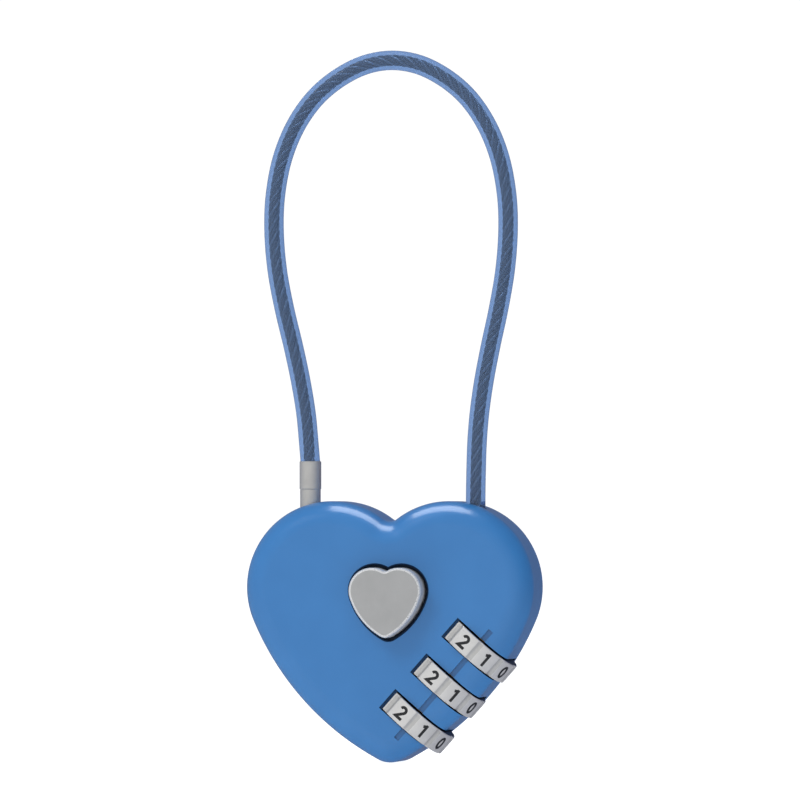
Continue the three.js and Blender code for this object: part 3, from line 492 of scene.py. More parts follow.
def heart(shape, grow=0.0, fine=1.0):
    """The heart outline grown outwards, from the cleft down its right side and back up its left.
    Every outline made with the same `fine` has the same number of points, so outlines can be lofted."""
    tip_centre = shape["tip_z"] + shape["tip_r"]
    to_lobe = Vector((shape["lobe_x"], shape["lobe_z"] - tip_centre))
    slack = shape["side_r"] - shape["lobe_r"]
    reach = (to_lobe.length_squared + slack ** 2 - (shape["side_r"] - shape["tip_r"]) ** 2) / (2 * slack)
    side_start = math.atan2(to_lobe.y, to_lobe.x) - math.acos(reach / to_lobe.length)
    side_x = shape["lobe_x"] - slack * math.cos(side_start)
    side_z = shape["lobe_z"] - slack * math.sin(side_start)
    side_r = shape["side_r"] + grow
    pointed = shape["tip_r"] + grow <= 0.1
    side_end = -math.acos(-side_x / side_r) if pointed else math.atan2(tip_centre - side_z, -side_x)
    cleft_z = shape["lobe_z"] + math.sqrt((shape["lobe_r"] + shape["cleft_r"]) ** 2 - shape["lobe_x"] ** 2)
    cleft_end = math.atan2(shape["lobe_z"] - cleft_z, shape["lobe_x"])
    down = -math.pi / 2
    counts = [max(3, round(count * fine)) for count in (10, 72, 48, 12)]
    right = arc(0, cleft_z, shape["cleft_r"] - grow, down, cleft_end, counts[0])
    lobe_start = cleft_end + math.pi
    lobe_r = shape["lobe_r"] + grow
    right += arc(shape["lobe_x"], shape["lobe_z"], lobe_r, lobe_start, side_start, counts[1])
    right += arc(side_x, side_z, side_r, side_start, side_end, counts[2])
    if pointed:
        right += [(0, side_z + side_r * math.sin(side_end))] * (counts[3] + 1)
    else:
        right += arc(0, tip_centre, shape["tip_r"] + grow, side_end, down, counts[3])
        right.append((0, shape["tip_z"] - grow))
    return right + [(-x, z) for x, z in reversed(right[1:-1])]


def rounded(radius, face, inwards, steps):
    """(inset, depth) pairs of a quarter-round rim, from the flat face out to the side wall."""
    pairs = []
    for i in range(steps + 1):
        angle = math.pi / 2 * i / steps
        pairs.append((radius * (1 - math.sin(angle)), face + inwards * radius * (1 - math.cos(angle))))
    return pairs


# ------ solids

def new_object(bm):
    """A cleaned object from the bmesh, which `finished` names."""
    bmesh.ops.remove_doubles(bm, verts=bm.verts, dist=1e-5)
    bmesh.ops.dissolve_degenerate(bm, edges=bm.edges, dist=1e-6)
    bmesh.ops.recalc_face_normals(bm, faces=bm.faces)
    mesh = bpy.data.meshes.new("solid")
    bm.to_mesh(mesh)
    bm.free()
    thing = bpy.data.objects.new("solid", mesh)
    bpy.context.scene.collection.objects.link(thing)
    return thing


def loft(rings):
    """A closed solid through rings of the same number of points."""
    bm = bmesh.new()
    rows = [[bm.verts.new(point) for point in ring] for ring in rings]
    count = len(rings[0])
    for low, high in zip(rows, rows[1:]):
        for i in range(count):
            after = (i + 1) % count
            bm.faces.new((low[i], low[after], high[after], high[i]))
    bm.faces.new(rows[0][::-1])
    bm.faces.new(rows[-1])
    return new_object(bm)


def heart_slab(shape, levels, fine=1.0, centre=(0, 0)):
    """A heart lofted through (inset, depth) levels."""
    rings = []
    for inset, depth in levels:
        outline = heart(shape, -inset, fine)
        rings.append([(x + centre[0], depth, z + centre[1]) for x, z in outline])
    return loft(rings)


def moved(thing, matrix):
    thing.data.transform(matrix)
    return thing


def block(x0, x1, y0, y1, z0, z1):
    corners = [(x0, y0), (x1, y0), (x1, y1), (x0, y1)]
    return loft([[(x, y, z) for x, y in corners] for z in (z0, z1)])


def circle(radius, z, sides):
    turn = 2 * math.pi / sides
    return [(radius * math.cos(i * turn), radius * math.sin(i * turn), z) for i in range(sides)]


def turned(profile, sides=48):
    """A solid of revolution about Z through (radius, z) points, from one end to the other."""
    return loft([circle(max(radius, 1e-3), z, sides) for radius, z in profile])


def rod(radius, z0, z1, sides=48):
    return turned([(radius, z0), (radius, z1)], sides)


ALONG_Y = Matrix.Rotation(-math.pi / 2, 4, "X")
ALONG_X = Matrix.Rotation(math.pi / 2, 4, "Y")


def cross_rod(radius, x, z, y0, y1, sides=32):
    return moved(rod(radius, y0, y1, sides), Matrix.Translation((x, 0, z)) @ ALONG_Y)


def side_rod(radius, x0, x1, y=0.0, z=0.0, sides=24):
    return moved(rod(radius, x0, x1, sides), Matrix.Translation((0, y, z)) @ ALONG_X)


def in_dials(thing):
    return moved(thing, DIALS)


def combine(base, tools, operation="DIFFERENCE"):
    """Cuts the tools from the base, or joins them to it, and removes the tools."""
    for tool in tools:
        modifier = base.modifiers.new("boolean", "BOOLEAN")
        modifier.operation = operation
        modifier.solver = "MANIFOLD"
        modifier.object = tool
        modifier.material_mode = "TRANSFER"
    bpy.context.view_layer.update()
    made = base.evaluated_get(bpy.context.evaluated_depsgraph_get())
    mesh = bpy.data.meshes.new_from_object(made)
    bm = bmesh.new()
    bm.from_mesh(mesh)
    bmesh.ops.dissolve_degenerate(bm, edges=bm.edges, dist=1e-4)
    bmesh.ops.dissolve_limit(bm, angle_limit=1e-3, verts=bm.verts, edges=bm.edges, delimit={"MATERIAL"})
    bm.to_mesh(mesh)
    bm.free()
    base.modifiers.clear()
    old = base.data
    base.data = mesh
    bpy.data.meshes.remove(old)
    for tool in tools:
        bpy.data.objects.remove(tool)
    return base


def finished(thing, name, slot, body=None, replaces=(), sharp=32):
    """Moves a solid into the CAD frame, smooths its curved faces, and gives it its name and body,
    and its slot's material if it has none yet."""
    thing.name = name
    thing.data.name = name
    thing.data.transform(TO_FRAME)
    if not any(thing.data.materials):
        thing.data.materials.clear()
        thing.data.materials.append(LOOKS[slot])
    thing.data.shade_smooth()
    thing.data.set_sharp_from_angle(angle=math.radians(sharp))
    weighted = thing.modifiers.new("weighted_normals", "WEIGHTED_NORMAL")
    weighted.keep_sharp = True
    weighted.weight = 90
    if body:
        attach(thing, body)
    if replaces:
        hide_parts(*replaces)
    return thing


# ------ case casting

SLEEVE_R = 3.6  # the wheels' code sleeves, inside the case
SLEEVE_HIGH = 2.6
JOURNAL_R = 1.2
SLOT_END = DIAL_PITCH + SLOT_WIDTH / 2
DIAL_BLOCK_TOP = DIAL_PITCH + SLEEVE_HIGH + 0.05
DIAL_BLOCK_INNER = -7.1
FORK_ROOM = 2.35
BEARING_LOW = 13.3
JOURNAL_END = 14.5
SPRING_SEAT = 15.6
SLIDER_FRONT = 0.8
SLIDER_BACK = 2.3
CATCH_POST = (-7.0, 22.5)
CATCH_POST_R = 0.9
RIVET_BOSS_R = 1.6
BEARING_HALF = 2.4
BEARING_TOP = 18
PLUG_HOLE_LOW = 18.4
ANCHOR_POCKET_R = 2.35
ANCHOR_POCKET_LOW = 27.5
SCREW_R = 0.5
DIAL_Y = DIAL_CENTRE.y
BACK_OF_SLOTS = COVER_FRONT - DIAL_Y
PRESS = TO_DIALS @ Vector((0, 0, BUTTON_Z))
SLIDER_MIDDLE = (SLIDER_FRONT + SLIDER_BACK) / 2 - DIAL_Y


def case_blank():
    """The heart-shaped slab with its rounded front and back edges."""
    levels = rounded(FRONT_EDGE_R, FRONT, 1, 14) + rounded(BACK_EDGE_R, BACK, -1, 10)[::-1]
    return heart_slab(CASE_HEART, levels)


def cavity():
    """The hollow behind the front wall, less what stays solid in it."""
    low = CAVITY_FRONT - 0.5
    high = COVER_FRONT + 0.5
    front = -8
    back = 9
    under_slider = SLIDER_FRONT - DIAL_Y - 0.2
    round_wheels = in_dials(block(DIAL_BLOCK_INNER, 16, front, back, -16, DIAL_BLOCK_TOP))
    spindle_bearing = in_dials(block(-BEARING_HALF, BEARING_HALF, front, back, BEARING_LOW, BEARING_TOP))
    spring_stop = in_dials(block(-15, -11.2, front, back, SPRING_SEAT, 19))
    round_plug = block(-14.6, -9.3, low, high, 15.5, 36)
    round_anchor = block(9, 15, low, high, 26.8, 36)
    slider_rail = in_dials(block(-6.6, -3, front, under_slider, DIAL_BLOCK_TOP - 1, 12.8))
    catch_post = cross_rod(CATCH_POST_R, *CATCH_POST, low, SLIDER_FRONT - 0.2)
    rivet_bosses = [cross_rod(RIVET_BOSS_R, x, z, low, high) for x, z in RIVETS]
    levels = [(CAVITY_INSET, CAVITY_FRONT), (CAVITY_INSET, COVER_FRONT + 0.1)]
    return combine(heart_slab(CASE_HEART, levels, fine=0.4), [
        round_wheels, spindle_bearing, spring_stop, round_plug, round_anchor, slider_rail, catch_post,
        *rivet_bosses,
    ])


def wheel_slots():
    """The slots' three cuts each; the cut that shows from the front leaves walls in the dark navy of
    painted shade.
    """
    slots = []
    for step in WHEEL_STEPS:
        low = step * DIAL_PITCH - SLOT_WIDTH / 2
        high = low + SLOT_WIDTH + SLOT_EXTRA
        shown = in_dials(rod(SLOT_R, low, high, 120))
        shown.data.materials.append(LOOKS["painted_gap_shade"])
        slots.append(shown)
        slots.append(in_dials(block(-SLOT_R, 2, 0, BACK_OF_SLOTS, low, high)))
        slots.append(in_dials(block(DIAL_BLOCK_INNER - 0.5, 0, -1.6, BACK_OF_SLOTS, low, high)))
    return slots


def painted_shadow_lips():
    """A thin dark lip just under the face at each slot's inner end, close over the wheel, put there as a
    painted shadow.
    """
    front = FRONT - DIAL_Y
    chord = math.sqrt(SLOT_R ** 2 - front ** 2)
    lips = []
    for step in WHEEL_STEPS:
        low = step * DIAL_PITCH - SLOT_WIDTH / 2 - 0.1
        high = low + SLOT_WIDTH + 0.2
        lip = in_dials(block(-chord - 0.2, -chord + 0.6, front + 0.1, front + 0.8, low, high))
        combine(lip, [in_dials(rod(WHEEL_R + 0.05, low - 1, high + 1, 160))])
        lip.data.materials.clear()
        lip.data.materials.append(LOOKS["painted_gap_shade"])
        lips.append(lip)
    return lips


def spindle_channels():
    """Round-bottomed channels, open to the back, for the code sleeves and the spindle's two ends."""
    sleeves = (SLEEVE_R + 0.2, -SLOT_END, DIAL_BLOCK_TOP + 0.1)
    low_end = (JOURNAL_R + 0.15, -SLOT_END - 1.9, -SLOT_END + 0.1)
    high_end = (JOURNAL_R + 0.15, BEARING_LOW - 0.1, JOURNAL_END + TRAVEL + 0.3)
    tools = []
    for radius, low, high in (sleeves, low_end, high_end):
        tools.append(in_dials(rod(radius, low, high)))
        tools.append(in_dials(block(-radius, radius, 0, BACK_OF_SLOTS, low, high)))
    return tools


def slider_room():
    """Room for the slider's plate, arm and fork, and for its spring."""
    front = SLIDER_FRONT - DIAL_Y - 0.3
    back = BACK_OF_SLOTS
    room = 1.5
    low = 10
    plate = in_dials(block(PRESS.x - 4.7, PRESS.x + 4.7, front, back, -1.3, low))
    arm = in_dials(block(PRESS.x - room, 2.3, front, back, 9.35, 12.9))
    fork = in_dials(block(-FORK_ROOM, FORK_ROOM, -FORK_ROOM, back, DIAL_BLOCK_TOP, BEARING_LOW))
    spring = moved(rod(room, low, SPRING_SEAT), Matrix.Translation((PRESS.x, SLIDER_MIDDLE, 0)))
    spring_way_in = in_dials(block(PRESS.x - room, PRESS.x + room, SLIDER_MIDDLE, back, low, SPRING_SEAT))
    return [plate, arm, fork, in_dials(spring), spring_way_in]


def screw_holes():
    """Holes for the catch's screw and for the click spring's two."""
    holes = [side_rod(SCREW_R, -12.4, -9, CABLE_Y, 17.6)]
    for along in (-DIAL_PITCH / 2, DIAL_PITCH / 2):
        holes.append(in_dials(side_rod(SCREW_R, DIAL_BLOCK_INNER - 1, DIAL_BLOCK_INNER + 2.6, 5.4, along)))
    return holes


def cable_holes():
    """The plug's hole with the catch's window, and the anchored end's pocket with the cable's way out."""
    above = 40
    sides = 64
    pocket_top = ANCHOR_TOP_Z + 0.3
    at_plug = Matrix.Translation((-LEG_X, CABLE_Y, 0))
    at_anchor = Matrix.Translation((LEG_X, CABLE_Y, 0))
    left = LEG_X - ANCHOR_POCKET_R
    right = LEG_X + ANCHOR_POCKET_R
    return [
        moved(rod(PLUG_HOLE_R, PLUG_HOLE_LOW, above, sides), at_plug),
        block(-11.3, -9, -3.2, COVER_FRONT + 0.1, 23.8, 30.8),
        moved(rod(ANCHOR_POCKET_R, ANCHOR_POCKET_LOW, pocket_top), at_anchor),
        block(left, right, CABLE_Y, COVER_FRONT + 0.1, ANCHOR_POCKET_LOW, pocket_top),
        moved(rod(CABLE_R + 0.2, pocket_top - 0.1, above, sides), at_anchor),
    ]


LINE_LOW = -SLOT_END - 1.7
LINE_HIGH = SLOT_END + 1.9


def indicator_groove():
    """The code line's groove, whose walls and floor take the darker blue of painted shade."""
    front = FRONT - DIAL_Y
    groove = in_dials(block(0.62, 1.42, front - 1, front + 0.3, LINE_LOW, LINE_HIGH))
    groove.data.materials.append(LOOKS["painted_recess_shade"])
    return groove


def button_hole():
    """The heart-shaped hole, with its front edge eased."""
    ease = 0.22
    levels = [
        (-BUTTON_GAP - ease - 1, FRONT - 1),
        (-BUTTON_GAP - ease, FRONT),
        (-BUTTON_GAP - ease * 0.35, FRONT + ease * 0.35),
        (-BUTTON_GAP, FRONT + ease),
        (-BUTTON_GAP, CAVITY_FRONT + 0.5),
    ]
    hole = heart_slab(BUTTON_HEART, levels, fine=0.7, centre=(BUTTON_X, BUTTON_Z))
    # The hole's walls take the dark navy of painted shade.
    hole.data.materials.append(LOOKS["painted_gap_shade"])
    return hole


def make_case():
    """The casting with its hollow and holes, and the dark lips of painted shadow in its wheel slots."""
    case = case_blank()
    case.data.materials.append(LOOKS["case_paint"])
    seat = heart_slab(CASE_HEART, [(COVER_INSET, COVER_FRONT), (COVER_INSET, BACK + 1)])
    rivet_holes = [cross_rod(RIVET_R, x, z, RIVET_TIP_Y - 0.2, BACK) for x, z in RIVETS]
    combine(case, [seat, cavity(), *wheel_slots(), *spindle_channels(), *slider_room(), *screw_holes(),
                   *cable_holes(), *rivet_holes, button_hole(), indicator_groove()])
    # The dark lips are painted shadow at the slots' inner ends.
    combine(case, painted_shadow_lips(), "UNION")
    return finished(case, "heart_case", "case_paint", "case", ["body_casting"])


def make_cover():
    """The set-in plate with its eased rim, the ribs and posts on its inside, and the rivets' seats."""
    edge = COVER_INSET + COVER_GAP
    cover = heart_slab(CASE_HEART, [
        (edge, COVER_FRONT + 0.05), (edge, BACK - 0.25), (edge + 0.07, BACK - 0.07), (edge + 0.25, BACK),
    ])
    rib_half = (DIAL_PITCH - SLOT_WIDTH) / 2 - 0.3
    back = BACK_OF_SLOTS + 0.3
    ribs = [
        in_dials(block(-3.3, 2.2, SLEEVE_R + 0.25, back, middle - rib_half, middle + rib_half))
        for middle in (-DIAL_PITCH / 2, DIAL_PITCH / 2)
    ]
    ribs.append(in_dials(block(-6.2, -3.4, SLIDER_BACK - DIAL_Y + 0.2, back, 9.9, 12.2)))
    ribs.append(cross_rod(CATCH_POST_R, *CATCH_POST, SLIDER_BACK + 0.2, COVER_FRONT + 0.3))
    ribs.append(cross_rod(0.5, 0, BUTTON_Z, 3.2, COVER_FRONT + 0.3))
    combine(cover, ribs, "UNION")
    cuts = []
    for x, z in RIVETS:
        cuts.append(cross_rod(RIVET_R + 0.02, x, z, 0, BACK + 1))
        cuts.append(cross_rod(RIVET_HEAD_R + 0.05, x, z, BACK - 0.55, BACK + 1, 48))
    combine(cover, cuts)
    return finished(cover, "cover_plate", "case_paint", "case", ["back_cover"])


def rivet_profile():
    """A shank with an eased tip, and a sunk head with a slightly crowned top."""
    shank = RIVET_R - 0.05
    ease = 0.1
    crown = 0.12
    head_low = BACK - 0.5
    profile = [
        (0, RIVET_TIP_Y), (shank - ease, RIVET_TIP_Y), (shank, RIVET_TIP_Y + ease), (shank, head_low),
        (RIVET_HEAD_R, head_low), (RIVET_HEAD_R, BACK - crown),
    ]
    for i in range(1, 7):
        angle = math.pi / 2 * i / 6
        profile.append((RIVET_HEAD_R * math.cos(angle), BACK - crown + crown * math.sin(angle)))
    return profile


def make_rivets():
    for number, (x, z) in enumerate(RIVETS, start=1):
        rivet = moved(turned(rivet_profile(), 40), Matrix.Translation((x, 0, z)) @ ALONG_Y)
        finished(rivet, f"rivet_{number}", "steel", "case", [f"case_rivet_{number}"])


# ------ number wheels

GROOVE_HALF = math.radians(5.2)
GROOVE_DEPTH = 0.22
# The darker floor is painted shade in the groove.
GROOVE_FLOOR = 0.75  # the part of a groove's width that is its darker floor
DETENT_HALF = math.radians(8)
DETENT_DEPTH = 0.6
WHEEL_EDGE = 0.16
WHEEL_SIDES = 400
DIGIT_HEIGHT = 2.1
DIGIT_ZERO = math.radians(65)
STROKE_HALF = 0.1  # half the width of a digit's stroke, for a digit 1 high
INK_PROUD = 0.012
INK_LAYER = 0.003
INK_SUNK = 0.05


def around(angle, radius, z):
    """A point of the dial frame: angles start at the front and turn towards the case's side."""
    return Vector((radius * math.sin(angle), -radius * math.cos(angle), z))


def nearest_groove(angle):
    """Angle from the nearest groove between two digits."""
    return (angle - GROOVE_PHASE + DIGIT_PITCH / 2) % DIGIT_PITCH - DIGIT_PITCH / 2


def wheel_radius(angle):
    away = abs(nearest_groove(angle)) / GROOVE_HALF
    return WHEEL_R - (GROOVE_DEPTH * 0.5 * (1 + math.cos(math.pi * away)) if away < 1 else 0)


def bore_radius(angle):
    return WHEEL_BORE + (DETENT_DEPTH if abs(nearest_groove(angle)) <= DETENT_HALF else 0)


def wheel_section(angle):
    """The ring's section at an angle as (radius, height) points, with its outer edges eased."""
    half = WHEEL_WIDTH / 2
    inside_edge = wheel_radius(angle) - WHEEL_EDGE
    section = [(bore_radius(angle), -half), (inside_edge, -half)]
    for part in (1, 2, 3):
        ease = math.pi / 2 * part / 3
        height = -half + WHEEL_EDGE * (1 - math.cos(ease))
        section.append((inside_edge + WHEEL_EDGE * math.sin(ease), height))
    return section + [(radius, -height) for radius, height in reversed(section)]


def make_wheel(number, step):
    """A ring with ten shallow grooves outside, whose floors are darkened with painted shade, ten detent
    notches inside, and side faces in dark painted shade.
    """
    middle = step * DIAL_PITCH
    turn = 2 * math.pi / WHEEL_SIDES
    bm = bmesh.new()
    rows = []
    for i in range(WHEEL_SIDES):
        section = wheel_section(i * turn)
        rows.append([bm.verts.new(DIALS @ around(i * turn, radius, middle + z)) for radius, z in section])
    around_section = len(rows[0])
    side_faces = (0, around_section - 2)
    rim = around_section // 2 - 1
    for i, row in enumerate(rows):
        after = rows[(i + 1) % len(rows)]
        in_groove = abs(nearest_groove((i + 0.5) * turn)) < GROOVE_HALF * GROOVE_FLOOR
        for j in range(around_section):
            k = (j + 1) % around_section
            face = bm.faces.new((row[j], row[k], after[k], after[j]))
            # Side faces take the dark painted shade; the grooves' floors take their darker painted shade.
            if j in side_faces:
                face.material_index = 1
            elif j == rim and in_groove:
                face.material_index = 2
    wheel = new_object(bm)
    for look in ("wheel_metal", "painted_shade_metal", "painted_groove_shade"):
        wheel.data.materials.append(LOOKS[look])
    return finished(wheel, f"wheel_{number}", "wheel_metal", f"dial_{number}",
                    [f"number_wheel_{number}"], sharp=40)


def bow(x, y, width, height, start=0, end=360, steps=24):
    """Points on an elliptical arc, angles in degrees."""
    turns = [math.radians(start + (end - start) * i / steps) for i in range(steps + 1)]
    return [Vector((x + width * math.cos(turn), y + height * math.sin(turn))) for turn in turns]


def straight(*corners):
    """Straight strokes between corners, in short steps so that they can follow the wheel's curve."""
    points = []
    for a, b in zip(corners, corners[1:]):
        steps = max(1, round((Vector(b) - Vector(a)).length / 0.08))
        points += [Vector(a).lerp(Vector(b), i / steps) for i in range(steps)]
    return points + [Vector(corners[-1])]


SIX = [bow(0, -0.16, 0.22, 0.24), bow(0.09, -0.10, 0.31, 0.50, 178, 72)]

# The middle lines of each digit's strokes, for a digit 1 high centred on the origin.
DIGITS = [
    [bow(0, 0, 0.21, 0.40, steps=36)],
    [straight((0.05, 0.5), (0.05, -0.5)), straight((-0.19, 0.27), (0.05, 0.40))],
    [bow(0, 0.19, 0.21, 0.21, 170, -20) + straight((0.17, 0.06), (-0.22, -0.40), (0.31, -0.40))],
    [bow(-0.01, 0.2, 0.19, 0.20, 160, -85), bow(-0.01, -0.18, 0.22, 0.22, 85, -160)],
    [straight((0.11, -0.5), (0.11, 0.5)), straight((0.11, 0.42), (-0.24, -0.18), (0.30, -0.18))],
    [straight((0.25, 0.40), (-0.15, 0.40), (-0.19, 0.02)), bow(0, -0.15, 0.22, 0.25, 140, -150)],
    SIX,
    [straight((-0.25, 0.40), (0.24, 0.40), (-0.07, -0.5))],
    [bow(0, 0.21, 0.17, 0.19), bow(0, -0.19, 0.21, 0.21)],
    [[-point for point in stroke] for stroke in SIX],
]


def stroke_edges(points):
    """Pairs of points on the two edges of a stroke along its middle line, mitred at corners."""
    closed = (points[0] - points[-1]).length < 1e-6
    pairs = []
    for i, point in enumerate(points):
        before = points[i - 1] if i else points[-2 if closed else 0]
        after = points[i + 1] if i + 1 < len(points) else points[1 if closed else -1]
        arriving = (point - before) if (point - before).length else (after - point)
        leaving = (after - point) if (after - point).length else (point - before)
        square = Vector((-arriving.y, arriving.x)).normalized()
        across = (square + Vector((-leaving.y, leaving.x)).normalized()).normalized()
        reach = across * (STROKE_HALF / max(0.4, across.dot(square)))
        pairs.append((point + reach, point - reach))
    return pairs


def add_ink(bm, stroke, digit_angle, height, proud):
    """Adds one stroke as a thin bar wrapped on the wheel's face. A closed stroke needs no end faces."""
    rows = []
    for left, right in stroke_edges(stroke):
        row = []
        for point, lift in ((left, proud), (right, proud), (right, -INK_SUNK), (left, -INK_SUNK)):
            place = point * DIGIT_HEIGHT
            angle = digit_angle + place.x / WHEEL_R
            row.append(bm.verts.new(DIALS @ around(angle, WHEEL_R + lift, height + place.y)))
        rows.append(row)
    for a, b in zip(rows, rows[1:]):
        for j in range(4):
            k = (j + 1) % 4
            bm.faces.new((a[j], a[k], b[k], b[j]))
    if (stroke[0] - stroke[-1]).length > 1e-6:
        bm.faces.new(rows[0][::-1])
        bm.faces.new(rows[-1])


def make_numbers(number, step):
    """The ten black digits of one wheel. Each digit's second stroke is a little prouder than its first."""
    bm = bmesh.new()
    for digit, strokes in enumerate(DIGITS):
        digit_angle = DIGIT_ZERO - digit * DIGIT_PITCH
        for layer, stroke in enumerate(strokes):
            add_ink(bm, stroke, digit_angle, step * DIAL_PITCH, INK_PROUD + INK_LAYER * layer)
    numbers = new_object(bm)
    return finished(numbers, f"wheel_numbers_{number}", "digit_ink", f"dial_{number}", sharp=50)


# ------ heart button

STEM_R = 1.7
SPRING_WELL_R = 1.25
SPRING_WELL_FRONT = -2.4
FLANGE_OUT = 0.8
RAMP_INNER = 2.05
RAMP_OUTER = 3.2
RAMP_REACH = 2.4
RAMP_START = 0.6
RAMP_END = 3.4
RIB_LOW = -1.5
RIB_ROOT = 0.6  # how far a rib reaches into the stem
FLANGE_FRONT = CAVITY_FRONT + 0.15
FLANGE_BACK = FLANGE_FRONT + 1
BUTTON_EDGE = 0.45


def ramp_rib(low):
    """One of the two ribs whose 45 degree ramps push the slider along the dial axis."""
    outline = [
        (RIB_LOW, FLANGE_BACK - 0.5), (RAMP_REACH, FLANGE_BACK - 0.5), (RAMP_REACH, RAMP_START),
        (RAMP_REACH - (RAMP_END - RAMP_START), RAMP_END), (RIB_LOW, RAMP_END),
    ]
    width = RAMP_OUTER - RAMP_INNER + RIB_ROOT
    rib = loft([[(x, depth, along) for along, depth in outline] for x in (low, low + width)])
    return moved(rib, Matrix.Translation((0, 0, BUTTON_Z)) @ Matrix.Rotation(DIAL_TILT, 4, "Y"))


def make_button():
    """The heart cap, the flange that keeps it in the case, and its stem with ramps and a spring's well."""
    face = FRONT - BUTTON_PROUD
    centre = (BUTTON_X, BUTTON_Z)
    levels = rounded(BUTTON_EDGE, face, 1, 7) + [(0, FLANGE_BACK)]
    button = heart_slab(BUTTON_HEART, levels, fine=0.8, centre=centre)
    flange_levels = [(-FLANGE_OUT, FLANGE_FRONT), (-FLANGE_OUT, FLANGE_BACK)]
    flange = heart_slab(BUTTON_HEART, flange_levels, fine=0.8, centre=centre)
    stem = cross_rod(STEM_R, 0, BUTTON_Z, FLANGE_BACK - 0.5, RAMP_END, 40)
    combine(button, [flange, stem, ramp_rib(-RAMP_OUTER), ramp_rib(RAMP_INNER - RIB_ROOT)], "UNION")
    combine(button, [cross_rod(SPRING_WELL_R, 0, BUTTON_Z, SPRING_WELL_FRONT, RAMP_END + 1, 40)])
    button.data.materials.clear()
    for look in ("button_metal", "painted_highlight_rim", "painted_light_wall", "painted_shade_metal"):
        button.data.materials.append(LOOKS[look])
    # The rim takes a painted highlight, the wall painted light with a painted reflection of the blue case,
    # and the flange painted shade.
    for part in button.data.polygons:
        depth = part.center.y
        on_rim = face + 0.01 < depth < face + BUTTON_EDGE
        on_wall = face + BUTTON_EDGE < depth < FLANGE_FRONT - 0.01
        on_flange = abs(depth - FLANGE_FRONT) < 0.01
        part.material_index = 1 if on_rim else 2 if on_wall else 3 if on_flange else 0
    return finished(button, "heart_push_button", "button_metal", "button", ["heart_button"])


# ------ plug and ferrule

ROPE_BORE_R = 0.8
ROPE_BORE_DEPTH = 3
CATCH_GROOVE_R = 0.9
CATCH_GROOVE_HALF = 0.8
FERRULE_EDGE = 0.2
FERRULE_SIDES = 56


def make_plug():
    """A turned pin with a blunt tip, the catch's groove, and a bore for the rope in its top."""
    ease = 0.15
    seam_ease = 0.03
    low = CATCH_Z - CATCH_GROOVE_HALF
    high = CATCH_Z + CATCH_GROOVE_HALF
    profile = [
        (0, PLUG_TIP_Z), (0.6, PLUG_TIP_Z), (PLUG_R - ease, PLUG_TIP_Z + 0.75), (PLUG_R, PLUG_TIP_Z + 1.05),
        (PLUG_R, low - ease), (PLUG_R - ease, low), (CATCH_GROOVE_R, low),
        (CATCH_GROOVE_R, high), (PLUG_R - ease, high), (PLUG_R, high + ease),
        (PLUG_R, PLUG_TOP_Z - seam_ease), (PLUG_R - seam_ease, PLUG_TOP_Z), (ROPE_BORE_R, PLUG_TOP_Z),
        (ROPE_BORE_R, PLUG_TOP_Z - ROPE_BORE_DEPTH), (0, PLUG_TOP_Z - ROPE_BORE_DEPTH),
    ]
    plug = moved(turned(profile, FERRULE_SIDES), Matrix.Translation((-LEG_X, CABLE_Y, 0)))
    return finished(plug, "cable_plug", "plug_metal", "plug", ["plug_pin"])


def ferrule_section():
    """The ring's section as (radius, z) points: up the outside, over the rolled rim and down the inside."""
    low = PLUG_TOP_Z + 0.01
    shoulder = FERRULE_TOP_Z - FERRULE_EDGE
    mouth = CABLE_R + 0.02
    section = [(ROPE_BORE_R, low), (FERRULE_R - 0.05, low), (FERRULE_R, low + 0.05), (FERRULE_R, shoulder)]
    for i in range(1, 5):
        angle = math.pi / 2 * i / 4
        radius = FERRULE_R - 0.12 * (1 - math.cos(angle))
        section.append((radius, shoulder + FERRULE_EDGE * math.sin(angle)))
    return section + [
        (mouth - 0.1, FERRULE_TOP_Z), (mouth - 0.14, FERRULE_TOP_Z - 0.3),
        (ROPE_BORE_R, FERRULE_TOP_Z - 0.4),
    ]


def make_ferrule():
    """The crimped ring round the cable's end."""
    bm = bmesh.new()
    rows = []
    for radius, z in ferrule_section():
        rows.append([bm.verts.new(point) for point in circle(radius, z, FERRULE_SIDES)])
    for a, b in zip(rows, rows[1:] + rows[:1]):
        for i in range(FERRULE_SIDES):
            after = (i + 1) % FERRULE_SIDES
            bm.faces.new((a[i], a[after], b[after], b[i]))
    ferrule = moved(new_object(bm), Matrix.Translation((-LEG_X, CABLE_Y, 0)))
    return finished(ferrule, "crimp_sleeve", "plug_metal", "plug", ["crimp_ferrule"])


# ------ cable

STRANDS = 6
STRAND_LAY = 6.2  # a strand goes once round the rope in this length
STRAND_R = 0.155
CORE_STRAND_R = 0.27
STRAND_SIDES = 10
STRAND_STEP = 0.35
SLEEVE_SIDES = 28
SLEEVE_STEP = 0.8
SLEEVE_LOW_Z = ANCHOR_TOP_Z + 0.15
ROPE_LOW_Z = 28.3
CURVE_STEPS = 40


def route(right_end, left_end):
    """The cable's points, from its fixed end over the top to its free end, in millimetres."""
    right = [Vector(point) for point in CABLE_ROUTE]
    left = [Vector((-point.x, point.y, point.z)) for point in reversed(right[:-1])]
    left = [point for point in left if point.z > left_end + 1]
    return [Vector((LEG_X, CABLE_Y, right_end)), *right, *left, Vector((-LEG_X, CABLE_Y, left_end))]


